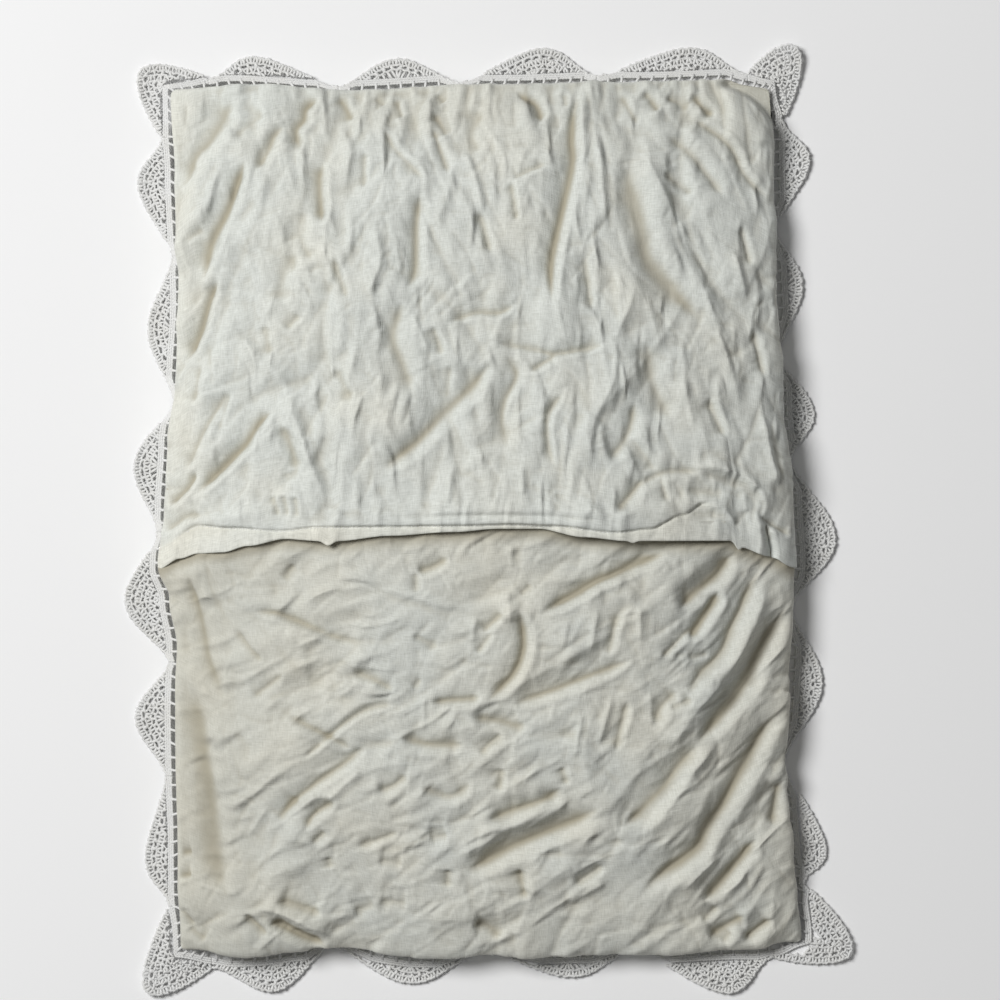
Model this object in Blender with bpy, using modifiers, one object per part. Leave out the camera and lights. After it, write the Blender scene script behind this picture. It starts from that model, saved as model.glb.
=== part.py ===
"""A pillow sham with an envelope back, filled, lying on its front.

The sham is a linen-weave pocket, 500 mm by 700 mm when flat, with a scalloped crochet edging sewn
into its seam all round. It lies face down, so the back shows: a lower panel, and over it an upper
panel whose hemmed edge closes the opening. The front panel with its filling is one solid with a
flat underside. Lengths below are in millimetres, +X to the right, +Y to the head of the sham.
"""

import math

import bmesh
import bpy
from mathutils import Matrix, Vector

MM = 0.001

# Filled pocket.
HALF_WIDTH = 232.0
HALF_LENGTH = 334.0
CROWN = 72.0                 # height of the middle over the surface it lies on
SEAM_HEIGHT = 10.0           # mean height of the seam
SEAM_TILT = 2.7              # the seam lies higher at the left and the head, lower opposite
SEAM_EDGE = 1.0              # thickness of the front panel's edge
CORNER_FILL = 20.0           # distance from a corner over which the fill begins
CROWN_POWER = 2.6            # larger is flatter on top
CROWN_ROUND = 0.45           # smaller is steeper at the seam
BULGE_PEAK = 9.0             # distance in from the seam at which the side is fullest
BULGE_BASE = 5.7             # fullness that a side needs to stand upright
BULGE_SHARE = 1.15
UNDERSIDE_RINGS = ((5.0, 0.45), (14.0, 0.0))    # (in from the seam, share of the seam's height)

# Cloth sheets and their clearances.
SHEET = 1.5
GAP = 0.7
OVERLAP_GAP = 1.2            # between the lower panel and the upper panel over it
OVER_LOWER = GAP + SHEET + OVERLAP_GAP
FOLD_FADE = 16.0             # folds start this far in from the seam
RIM_LINES = (0.0, 2.5, 6.0, 11.0, 18.0, 30.0)
LINE_SPACING = 26.0

# Envelope opening.
LOWER_PANEL_TOP = 80.0       # the lower panel's own hem, hidden under the upper panel
FLAP_PLAIN = 40.0            # the upper panel shares the pocket's own rows from here up
HEM_ROWS = (0.0, 5.0, 11.0, 15.0, 22.0, 32.0, 44.0)     # rows of the upper panel, in from its lip
LIP_LIFT = 2.4               # the lip stands off the lower panel in the middle
ROLL_HEIGHT = 4.0            # soft roll of cloth over the hem's stitching
ROLL_PLACE = 18.0
ROLL_WIDTH = 6.0
ROLL_LEFT = -225.0
ROLL_RIGHT = 150.0

# Crochet edging.
LACE = 2.2
LACE_CLEAR = 0.9             # edging to seam
LACE_UNDER = 4.1             # its underside lies this far under the seam
LACE_DRAPE = 24.0            # distance in which it falls to the surface
LACE_COLUMNS = 10            # per scallop
LACE_ROWS = 3

# One table for each side of the seam, in its own direction: along, seam, bulge past the seam.
LEFT_SIDE = (
    (-336.5, -240.5, 0.0), (-255.0, -241.5, 1.5), (-150.0, -243.0, 1.5), (-101.0, -241.5, 1.5),
    (-62.0, -247.0, 2.0), (-38.0, -254.0, 2.5), (12.0, -250.0, 2.0), (56.0, -247.5, 2.0),
    (102.0, -242.0, 1.5), (172.0, -238.5, 1.5), (266.0, -243.0, 1.5), (334.0, -247.5, 0.0))
RIGHT_SIDE = (
    (-331.0, 243.0, 0.0), (-300.0, 239.0, 1.0), (-262.0, 226.0, 9.5), (-193.0, 221.0, 10.0),
    (-97.0, 225.0, 10.0), (-35.0, 228.0, 10.0), (12.0, 225.0, 10.5), (89.0, 217.5, 10.0),
    (214.0, 213.0, 10.0), (294.0, 214.5, 7.5), (335.5, 217.6, 0.0))
TOP_SIDE = (
    (-247.5, 334.0, 0.0), (-190.0, 336.5, 2.0), (-114.0, 332.0, 1.5), (-13.0, 336.0, 2.0),
    (98.0, 337.5, 3.0), (181.0, 338.0, 5.0), (217.6, 335.5, 0.0))
BOTTOM_SIDE = (
    (-240.5, -336.5, 0.0), (-199.0, -334.0, 8.0), (-121.0, -325.5, 9.5), (-55.0, -331.5, 11.0),
    (17.0, -329.5, 11.0), (133.0, -328.5, 11.0), (200.0, -329.0, 8.0), (243.0, -331.0, 0.0))

# Lip of the upper panel: along, height on the back.
LIP = (
    (-256.0, -39.0), (-226.0, -27.0), (-186.0, -21.0), (-157.0, -15.5), (-78.0, -13.0),
    (20.0, -7.5), (73.0, -14.0), (105.0, -17.0), (185.0, -17.0), (216.0, -29.0), (237.0, -37.5))

# Main folds: from x, y, to x, y, bow to the left of the way, half width, height (minus is a trough).
FOLDS = (
    (-192.0, 282.0, -240.0, 118.0, -7.0, 11.0, -4.5),
    (-206.0, 328.0, -232.0, 274.0, 4.0, 13.0, -3.0),
    (-11.0, 322.0, -4.0, 286.0, 0.0, 11.0, -3.0),
    (71.0, 326.0, 49.0, 172.0, -5.0, 10.0, -3.5),
    (103.0, 274.0, 166.0, 148.0, -8.0, 15.0, -3.5),
    (158.0, 328.0, 181.0, 300.0, 0.0, 11.0, -3.0),
    (-161.0, 89.0, -228.0, 20.0, -3.0, 11.0, -4.5),
    (-161.0, 93.0, -117.0, 20.0, 0.0, 13.0, 3.0),
    (-19.0, 97.0, -82.0, 38.0, 0.0, 13.0, -3.0),
    (42.0, -74.0, 138.0, -30.0, -4.0, 10.0, -5.0),
    (192.0, -32.0, 156.0, -96.0, 3.0, 10.0, -5.0),
    (226.0, -80.0, 192.0, -143.0, 4.0, 11.0, -4.0),
    (207.0, -183.0, 115.0, -296.0, 14.0, 12.0, -5.0),
    (206.0, -257.0, 167.0, -300.0, 4.0, 11.0, -4.0),
    (-23.0, -257.0, 213.0, -96.0, -22.0, 17.0, 3.5),
    (-233.0, -70.0, -203.0, -303.0, -6.0, 14.0, -4.0),
    (-166.0, -239.0, -104.0, -180.0, 0.0, 14.0, -3.0),
    (-169.0, -312.0, -130.0, -326.0, 0.0, 10.0, -4.0),
    (-27.0, -310.0, 8.0, -326.0, 0.0, 13.0, -3.0))

# Crochet scallops, clockwise from the head's left corner: the valley before each, its tip, and
# how far its edge curls up.
SCALLOPS = (
    (-257.0, 299.5, -274.0, 352.0, 3.0, 0.8), (-220.7, 345.0, -184.0, 362.4, 1.0, 1.6),
    (-118.4, 338.5, -73.0, 361.0, 1.5, 1.6), (-23.2, 342.0, 41.0, 369.0, 2.0, 1.6),
    (84.6, 347.5, 157.0, 369.5, 1.0, 1.6), (203.0, 349.0, 242.0, 369.0, 6.0, 0.55),
    (230.2, 314.0, 251.0, 280.0, 2.0, 1.6), (224.0, 228.0, 245.5, 183.0, 1.5, 1.6),
    (226.0, 128.0, 254.6, 84.0, 1.0, 1.6), (237.0, 46.0, 271.5, -16.0, 1.0, 1.6),
    (237.0, -70.4, 261.0, -130.0, 1.0, 1.6), (231.0, -191.0, 264.0, -258.0, 1.5, 1.6),
    (247.5, -288.0, 284.0, -341.0, 3.0, 0.8), (224.0, -345.0, 186.0, -372.5, 2.5, 1.6),
    (113.7, -339.0, 65.0, -360.0, 1.0, 1.6), (-4.3, -340.0, -62.0, -365.0, 1.5, 1.6),
    (-124.7, -336.0, -168.0, -371.0, 2.0, 1.6), (-218.4, -353.0, -270.0, -371.0, 4.0, 0.8),
    (-251.4, -305.0, -270.0, -268.0, 1.0, 1.6), (-254.0, -202.6, -278.0, -156.0, 1.0, 1.6),
    (-251.5, -113.0, -286.0, -66.0, 1.0, 1.6), (-261.0, -10.6, -279.0, 43.0, 1.5, 1.6),
    (-247.5, 92.0, -268.0, 148.0, 1.0, 1.6), (-248.5, 206.0, -276.0, 262.0, 1.0, 1.6))


def smooth(share):
    """Ease from 0 to 1."""
    share = min(1.0, max(0.0, share))
    return share * share * (3.0 - 2.0 * share)


def read(table, place, column=1):
    """Value of a table's column at a place along it, eased between its rows."""
    if place <= table[0][0]:
        return table[0][column]
    for low, high in zip(table, table[1:]):
        if place <= high[0]:
            share = smooth((place - low[0]) / (high[0] - low[0]))
            return low[column] + (high[column] - low[column]) * share
    return table[-1][column]


def mix(start, end, share):
    return start + (end - start) * share


def rise(distance, half):
    """Share of the crown's height at a distance in from one side."""
    outward = max(0.0, 1.0 - distance / half)
    return (1.0 - outward ** CROWN_POWER) ** CROWN_ROUND


def bulge(table, place, distance, corner_distance):
    """How far the side stands out past a straight line in from its seam."""
    fill = 1.0 - math.exp(-corner_distance / CORNER_FILL)
    size = BULGE_BASE * fill + BULGE_SHARE * read(table, place, 2)
    step = distance / BULGE_PEAK
    return size * step * math.exp(1.0 - step)


def seam_height(u, v):
    return SEAM_HEIGHT + SEAM_TILT * (v - u)


def pocket(u, v):
    """A point of the filled pocket's back, for u and v from -1 to 1 across and up it."""
    across, up = (u + 1.0) / 2.0, (v + 1.0) / 2.0
    level = mix(BOTTOM_SIDE[0][1], TOP_SIDE[0][1], up)
    left, right = read(LEFT_SIDE, level), read(RIGHT_SIDE, level)
    aside = mix(left, right, across)
    bottom, top = read(BOTTOM_SIDE, aside), read(TOP_SIDE, aside)
    width, height = right - left, top - bottom
    from_left, from_bottom = across * width, up * height
    from_right, from_top = width - from_left, height - from_bottom
    near_x, near_y = min(from_left, from_right), min(from_bottom, from_top)
    x = left + from_left - bulge(LEFT_SIDE, level, from_left, near_y)
    x += bulge(RIGHT_SIDE, level, from_right, near_y)
    y = bottom + from_bottom - bulge(BOTTOM_SIDE, aside, from_bottom, near_x)
    y += bulge(TOP_SIDE, aside, from_top, near_x)
    base = seam_height(u, v)
    z = base + (CROWN - base) * rise(near_x, width / 2.0) * rise(near_y, height / 2.0)
    return Vector((x, y, z))


def outward(u, v):
    """Unit normal of the pocket's back."""
    step = 0.002
    u_low, u_high = max(-1.0, u - step), min(1.0, u + step)
    v_low, v_high = max(-1.0, v - step), min(1.0, v + step)
    along_u = pocket(u_high, v) - pocket(u_low, v)
    along_v = pocket(u, v_high) - pocket(u, v_low)
    return along_u.cross(along_v).normalized()


def fold_height(x, y):
    """Sum of the main folds at a place."""
    total = 0.0
    for x0, y0, x1, y1, bow, half_width, height in FOLDS:
        run = Vector((x1 - x0, y1 - y0))
        length = run.length
        run.normalize()
        offset = Vector((x - x0, y - y0))
        along = offset.dot(run) / length
        if -0.3 < along < 1.3:
            side = run.x * offset.y - run.y * offset.x - bow * 4.0 * along * (1.0 - along)
            taper = smooth((along + 0.2) / 0.4) * smooth((1.2 - along) / 0.4)
            total += height * taper * math.exp(-(side / half_width) ** 2)
    return total


def back(u, v, lift):
    """A point at a height over the pocket's folded back."""
    point = pocket(u, v)
    inward = min((1.0 - abs(u)) * HALF_WIDTH, (1.0 - abs(v)) * HALF_LENGTH)
    fold = fold_height(point.x, point.y) * smooth(inward / FOLD_FADE)
    return point + outward(u, v) * (fold + lift)


def grid_lines(length):
    """Places from -1 to 1 along a length, close together near both seams."""
    middle = length - 2.0 * RIM_LINES[-1]
    count = round(middle / LINE_SPACING)
    inner = [RIM_LINES[-1] + middle * i / count for i in range(1, count)]
    places = list(RIM_LINES) + inner + [length - place for place in reversed(RIM_LINES)]
    return [2.0 * place / length - 1.0 for place in places]


COLUMNS = grid_lines(2.0 * HALF_WIDTH)
ROWS = grid_lines(2.0 * HALF_LENGTH)


def row_level(v):
    return pocket(0.0, v).y


def v_at(u, y):
    """The v whose point in a column lies at a height y on the back."""
    aside = mix(read(LEFT_SIDE, y), read(RIGHT_SIDE, y), (u + 1.0) / 2.0)
    bottom, top = read(BOTTOM_SIDE, aside), read(TOP_SIDE, aside)
    return 2.0 * (y - bottom) / (top - bottom) - 1.0


def material(name, colour, roughness):
    made = bpy.data.materials.new(name)
    made.use_nodes = True
    shader = made.node_tree.nodes["Principled BSDF"]
    shader.inputs["Base Color"].default_value = (*colour, 1.0)
    shader.inputs["Roughness"].default_value = roughness
    shader.inputs["Metallic"].default_value = 0.0
    return made


def add_object(name, mesh_data, finish):
    made = bpy.data.objects.new(name, mesh_data)
    made.data.materials.append(finish)
    bpy.data.collections["pillow_sham"].objects.link(made)
    return made


def to_mesh(name, working):
    """Metres, one direction of triangles, and a Blender mesh."""
    bmesh.ops.scale(working, vec=(MM, MM, MM), verts=working.verts)
    bmesh.ops.triangulate(working, faces=working.faces, quad_method='FIXED')
    made = bpy.data.meshes.new(name)
    working.to_mesh(made)
    working.free()
    made.shade_smooth()
    return made


def placed_grid(columns, rows, place):
    """A grid of columns by rows whose points are set by place(column, row)."""
    working = bmesh.new()
    bmesh.ops.create_grid(working, x_segments=columns - 1, y_segments=rows - 1, size=0.5)
    for vertex in working.verts:
        column = round((vertex.co.x + 0.5) * (columns - 1))
        row = round((vertex.co.y + 0.5) * (rows - 1))
        vertex.co = place(column, row)
    return working


def thicken(sheet, thickness):
    """Cloth thickness, built outwards."""
    solid = sheet.modifiers.new("thickness", 'SOLIDIFY')
    solid.thickness = thickness * MM
    solid.offset = 1.0
    solid.use_even_offset = False
    return sheet


def build_filled_front(finish):
    """The front panel and the filling it holds: crowned above, flat below."""
    working = placed_grid(len(COLUMNS), len(ROWS),
                          lambda column, row: back(COLUMNS[column], ROWS[row], 0.0))
    rim = [edge for edge in working.edges if edge.is_boundary]
    seam = {vertex: vertex.co.copy() for edge in rim for vertex in edge.verts}
    middle_x = (LEFT_SIDE[0][1] + RIGHT_SIDE[0][1]) / 2.0
    middle_y = (BOTTOM_SIDE[0][1] + TOP_SIDE[0][1]) / 2.0
    for inset, height in ((0.0, 1.0 - SEAM_EDGE / SEAM_HEIGHT),) + UNDERSIDE_RINGS:
        grown = bmesh.ops.extrude_edge_only(working, edges=rim)["geom"]
        rim = [item for item in grown if isinstance(item, bmesh.types.BMEdge)]
        ring = {}
        for vertex in {vertex for edge in rim for vertex in edge.verts}:
            above = next(edge.other_vert(vertex) for edge in vertex.link_edges
                         if edge.other_vert(vertex) in seam)
            start = seam[above]
            vertex.co.x = middle_x + (start.x - middle_x) * (1.0 - inset / HALF_WIDTH)
            vertex.co.y = middle_y + (start.y - middle_y) * (1.0 - inset / HALF_LENGTH)
            vertex.co.z = start.z * height
            ring[vertex] = start
        seam = ring
    bmesh.ops.contextual_create(working, geom=rim)
    bmesh.ops.recalc_face_normals(working, faces=working.faces)
    return add_object("filled_front_panel", to_mesh("filled_front_panel", working), finish)


def build_lower_panel(finish):
    """The lower back panel, from the foot seam to its hem under the upper panel."""
    rows = [v for v in ROWS if row_level(v) < LOWER_PANEL_TOP]
    working = placed_grid(len(COLUMNS), len(rows),
                          lambda column, row: back(COLUMNS[column], rows[row], GAP))
    sheet = add_object("lower_back_panel", to_mesh("lower_back_panel", working), finish)
    return thicken(sheet, SHEET)


def flap_lift(x, from_lip):
    """How far the upper panel stands over the pocket, near its lip."""
    middle = smooth((x - ROLL_LEFT) / 60.0) * smooth((215.0 - x) / 60.0)
    open_lip = LIP_LIFT * middle * math.exp(-(from_lip / 26.0) ** 2)
    rolled = smooth((x - ROLL_LEFT) / 40.0) * smooth((ROLL_RIGHT - x) / 50.0)
    roll = ROLL_HEIGHT * rolled * math.exp(-((from_lip - ROLL_PLACE) / ROLL_WIDTH) ** 2)
    return OVER_LOWER + open_lip + roll


def build_upper_panel(finish):
    """The upper back panel, from the lip of its hem to the head seam."""
    plain = [v for v in ROWS if row_level(v) > FLAP_PLAIN]
    hem = len(HEM_ROWS)

    def place(column, row):
        u = COLUMNS[column]
        if row >= hem:
            v = plain[row - hem]
            return back(u, v, GAP if row_level(v) > LOWER_PANEL_TOP else OVER_LOWER)
        x = pocket(u, 0.0).x
        y = read(LIP, x) + HEM_ROWS[row]
        return back(u, v_at(u, y), flap_lift(x, HEM_ROWS[row]))

    working = placed_grid(len(COLUMNS), hem + len(plain), place)
    sheet = add_object("upper_back_panel", to_mesh("upper_back_panel", working), finish)
    return thicken(sheet, SHEET)


CORNERS = ((-1.0, 1.0), (1.0, 1.0), (1.0, -1.0), (-1.0, -1.0))


def round_seam(turn):
    """The u and v of a place round the seam: a turn is 4 sides, clockwise from the head's left."""
    side = int(turn) % 4
    start, end = CORNERS[side], CORNERS[(side + 1) % 4]
    share = turn - int(turn)
    return mix(start[0], end[0], share), mix(start[1], end[1], share)


def valley_turn(index):
    """Place round the seam that faces the valley before a scallop."""
    x, y = SCALLOPS[index % len(SCALLOPS)][:2]
    if index <= 0:
        return -share_along(LEFT_SIDE, y, True)
    if index <= 5:
        return share_along(TOP_SIDE, x, False)
    if index <= 12:
        return 1.0 + share_along(RIGHT_SIDE, y, True)
    if index <= 17:
        return 2.0 + share_along(BOTTOM_SIDE, x, True)
    if index < 24:
        return 3.0 + share_along(LEFT_SIDE, y, False)
    return 4.0 - share_along(LEFT_SIDE, y, True)


def share_along(table, place, backwards):
    """Share of a side's length at a place, counted from its table's end where backwards."""
    share = (place - table[0][0]) / (table[-1][0] - table[0][0])
    return 1.0 - share if backwards else share


def seam_point(turn):
    """A point of the front panel's straight-edged seam, at a place round it."""
    u, v = round_seam(turn + 4.0)
    lines, place = (COLUMNS, u) if abs(v) == 1.0 else (ROWS, v)
    for low, high in zip(lines, lines[1:]):
        if place <= high:
            share = (place - low) / (high - low)
            ends = [(line, v) if lines is COLUMNS else (u, line) for line in (low, high)]
            return pocket(*ends[0]).lerp(pocket(*ends[1]), share)
    return pocket(u, v)


def edging_column(index, step):
    """Seam point, outer point and curl of the edging, at a step through a scallop."""
    valley_x, valley_y, tip_x, tip_y, curl, power = SCALLOPS[index]
    next_x, next_y = SCALLOPS[(index + 1) % len(SCALLOPS)][:2]
    share = step / LACE_COLUMNS
    start, end = valley_turn(index), valley_turn(index + 1)
    corner = math.ceil(start)
    if corner < end:
        turn = mix(start, corner, share * 2.0) if share <= 0.5 else mix(corner, end, share * 2.0 - 1.0)
    else:
        turn = mix(start, end, share)
    inner = seam_point(turn)
    valley, following = Vector((valley_x, valley_y)), Vector((next_x, next_y))
    reach = Vector((tip_x, tip_y)) - (valley + following) / 2.0
    height = max(0.0, math.sin(math.pi * share))
    outer = valley.lerp(following, share) + reach * height ** power
    start_2d = Vector((inner.x, inner.y))
    start_2d += (outer - start_2d).normalized() * LACE_CLEAR
    return start_2d, outer, inner.z - LACE_UNDER, curl * height


def build_edging(finish):
    """The crochet edging: one worked ring of 24 scallops, lying on the surface."""
    count = LACE_COLUMNS * len(SCALLOPS)

    def place(column, row):
        index, step = divmod(column % count, LACE_COLUMNS)
        start, outer, height, curl = edging_column(index, step)
        share = row / LACE_ROWS
        at = start.lerp(outer, share)
        fall = smooth((at - start).length / LACE_DRAPE)
        return Vector((at.x, at.y, mix(height, 0.0, fall) + curl * share * share))

    working = placed_grid(count + 1, LACE_ROWS + 1, place)
    bmesh.ops.remove_doubles(working, verts=working.verts, dist=0.01)
    for vertex in working.verts:
        vertex.co.z = max(0.0, vertex.co.z)
    ring = add_object("crochet_edging", to_mesh("crochet_edging", working), finish)
    return thicken(ring, LACE)


def centre_on_origin(objects):
    """Put the middle of the whole outline at the origin, and its lowest point at z = 0."""
    bpy.context.view_layer.update()
    depsgraph = bpy.context.evaluated_depsgraph_get()
    corners = [item.evaluated_get(depsgraph).matrix_world @ Vector(corner)
               for item in objects for corner in item.evaluated_get(depsgraph).bound_box]
    low = Vector(min(corner[axis] for corner in corners) for axis in range(3))
    high = Vector(max(corner[axis] for corner in corners) for axis in range(3))
    shift = Vector((-(low.x + high.x) / 2.0, -(low.y + high.y) / 2.0, -low.z))
    for item in objects:
        item.data.transform(Matrix.Translation(shift))


def main():
    for item in list(bpy.data.objects):
        bpy.data.objects.remove(item)
    group = bpy.data.collections.new("pillow_sham")
    bpy.context.scene.collection.children.link(group)
    linen = material("ivory_linen", (0.76, 0.75, 0.66), 0.9)
    under_linen = material("ivory_linen_front", (0.74, 0.72, 0.62), 0.9)
    cotton = material("crochet_cotton", (0.80, 0.80, 0.78), 0.85)
    objects = [
        build_filled_front(under_linen),
        build_lower_panel(linen),
        build_upper_panel(linen),
        build_edging(cotton)]
    centre_on_origin(objects)


main()
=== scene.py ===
import math

import bmesh
import bpy
import numpy as np
from bpy.props import FloatProperty, FloatVectorProperty, IntProperty, PointerProperty
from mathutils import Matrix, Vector


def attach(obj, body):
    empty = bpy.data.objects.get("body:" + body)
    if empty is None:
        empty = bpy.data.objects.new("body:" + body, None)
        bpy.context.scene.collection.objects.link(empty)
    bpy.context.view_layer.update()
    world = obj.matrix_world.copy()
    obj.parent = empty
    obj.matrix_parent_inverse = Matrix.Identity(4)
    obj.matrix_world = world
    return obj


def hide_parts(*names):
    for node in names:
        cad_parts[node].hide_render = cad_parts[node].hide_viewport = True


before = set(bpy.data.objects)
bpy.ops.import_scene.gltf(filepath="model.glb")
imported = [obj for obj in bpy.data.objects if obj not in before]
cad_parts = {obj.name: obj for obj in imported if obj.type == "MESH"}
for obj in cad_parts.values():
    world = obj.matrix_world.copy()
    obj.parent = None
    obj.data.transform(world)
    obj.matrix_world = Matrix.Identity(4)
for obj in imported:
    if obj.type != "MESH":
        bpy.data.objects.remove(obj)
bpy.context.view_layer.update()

bl_info = {
    "name": "Pillow Sham Builder",
    "version": (1, 0, 0),
    "blender": (4, 5, 0),
    "location": "3D View > Sidebar > Pillow Sham",
    "description": "Builds a filled pillow sham with an envelope back and a crochet edging",
    "category": "Object",
}

MM = 0.001
DRAWING_SHIFT = np.array((0.84, 1.54, 0.0))      # from the drawing to the part's own origin

# Sizes below are in millimetres, +X to the right and +Y to the head of the sham, measured from
# the middle of the pocket's drawing. Everything is moved to the part's own origin at the end.
HALF_WIDTH = 232.0
HALF_LENGTH = 334.0
FLAT_HALF_WIDTH = 250.0       # of the pocket laid flat, before it is filled
SEAM_TILT = 2.7               # how much higher the seam lies at the head, and at the left
CROWN_POWER = 2.6             # larger makes the crown's middle flatter
CROWN_ROUND = 0.45            # smaller makes the crown's shoulder steeper
CORNER_FILL = 20.0            # distance from a corner over which its sides fill out
BULGE_PEAK = 9.0              # distance in from the seam where a side stands out most
BULGE_BASE = 5.7              # bulge of every side, and the share of its table's bulge
BULGE_SHARE = 1.15

# One table for each side of the seam, in its own direction: along, seam, bulge past the seam.
LEFT_SIDE = (
    (-336.5, -240.5, 0.0), (-255.0, -241.5, 1.5), (-150.0, -243.0, 1.5), (-101.0, -241.5, 1.5),
    (-62.0, -247.0, 2.0), (-38.0, -254.0, 2.5), (12.0, -250.0, 2.0), (56.0, -247.5, 2.0),
    (102.0, -242.0, 1.5), (172.0, -238.5, 1.5), (266.0, -243.0, 1.5), (334.0, -247.5, 0.0))
RIGHT_SIDE = (
    (-331.0, 243.0, 0.0), (-300.0, 239.0, 1.0), (-262.0, 226.0, 9.5), (-193.0, 221.0, 10.0),
    (-97.0, 225.0, 10.0), (-35.0, 228.0, 10.0), (12.0, 225.0, 10.5), (89.0, 217.5, 10.0),
    (214.0, 213.0, 10.0), (294.0, 214.5, 7.5), (335.5, 217.6, 0.0))
TOP_SIDE = (
    (-247.5, 334.0, 0.0), (-190.0, 336.5, 2.0), (-114.0, 332.0, 1.5), (-13.0, 336.0, 2.0),
    (98.0, 337.5, 3.0), (181.0, 338.0, 5.0), (217.6, 335.5, 0.0))
BOTTOM_SIDE = (
    (-240.5, -336.5, 0.0), (-199.0, -334.0, 8.0), (-121.0, -325.5, 9.5), (-55.0, -331.5, 11.0),
    (17.0, -329.5, 11.0), (133.0, -328.5, 11.0), (200.0, -329.0, 8.0), (243.0, -331.0, 0.0))

# Edges of the opening, along the width: the lip, the stitched groove and the crest of the roll.
LIP = (
    (-256.0, -39.0), (-240.0, -31.0), (-226.0, -27.0), (-206.0, -26.0), (-186.0, -21.0),
    (-157.0, -15.5), (-132.0, -17.0), (-116.0, -17.0), (-78.0, -13.0), (-28.0, -10.0),
    (7.0, -7.5), (37.0, -7.5), (73.0, -14.0), (105.0, -17.0), (153.0, -17.0), (185.0, -17.0),
    (193.0, -22.0), (216.0, -29.0), (237.0, -38.0))
GROOVE = (
    (-256.0, -22.0), (-225.0, -5.0), (-198.0, -6.5), (-162.0, -9.0), (-130.0, -6.0),
    (-28.0, -5.0), (16.0, -4.0), (47.0, -5.0), (97.0, -10.0), (122.0, -7.5), (148.0, 3.0),
    (167.0, 12.5), (236.0, 14.0))
CREST = (
    (-256.0, -12.0), (-223.0, -2.0), (-197.0, 1.0), (-170.0, 6.0), (-160.0, 18.0),
    (-154.0, 18.5), (-128.0, 10.0), (-114.0, 4.5), (-108.0, 4.0), (-48.0, 4.5), (16.0, 6.0),
    (57.0, 5.0), (100.0, 3.0), (122.0, 6.0), (236.0, 26.0))

# The filled corner on the head's right is rounded, and a flat ear of cloth lies outside it. The
# ear's two cloths have their heights over the seam.
EAR_CENTRE = (176.0, 290.0)
EAR_REACH = 46.0
EAR_PLUMPNESS = 9.0
EAR_BACK = 1.5
EAR_FRONT = -4.5

# How far the cloths lie over the pocket's shape, and how far the filling and the lower panel's
# hidden end lie under it. That end runs up the back from the tongue's start to its end.
PANEL_LIFT = 2.2
DOUBLED_LIFT = 4.9
SEAM_LIFT = 2.9
FILLING_SINK = 12.5
TONGUE_SINK = 9.0
TONGUE_START = 2.0
TONGUE_END = 72.0

# The hem's stitches: their ends along the width, the length of one, the distance from one to the
# next, how far below the groove they lie, and their thread's radius.
HEM_STITCHES = (-236.0, 108.0)
STITCH_LENGTH = 2.3
STITCH_PITCH = 3.3
STITCH_DROP = 0.9
STITCH_RADIUS = 0.28

# Small tips of the lip where the hem has turned: middle, half width, depth.
LIP_TIPS = ((-124.0, 4.5, 3.6), (110.0, 3.0, 1.6), (192.0, 2.2, 2.2))

# Places round the seam count in corners from the head's left one, clockwise from the back.
CORNERS = ((-1.0, 1.0), (1.0, 1.0), (1.0, -1.0), (-1.0, -1.0))

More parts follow.
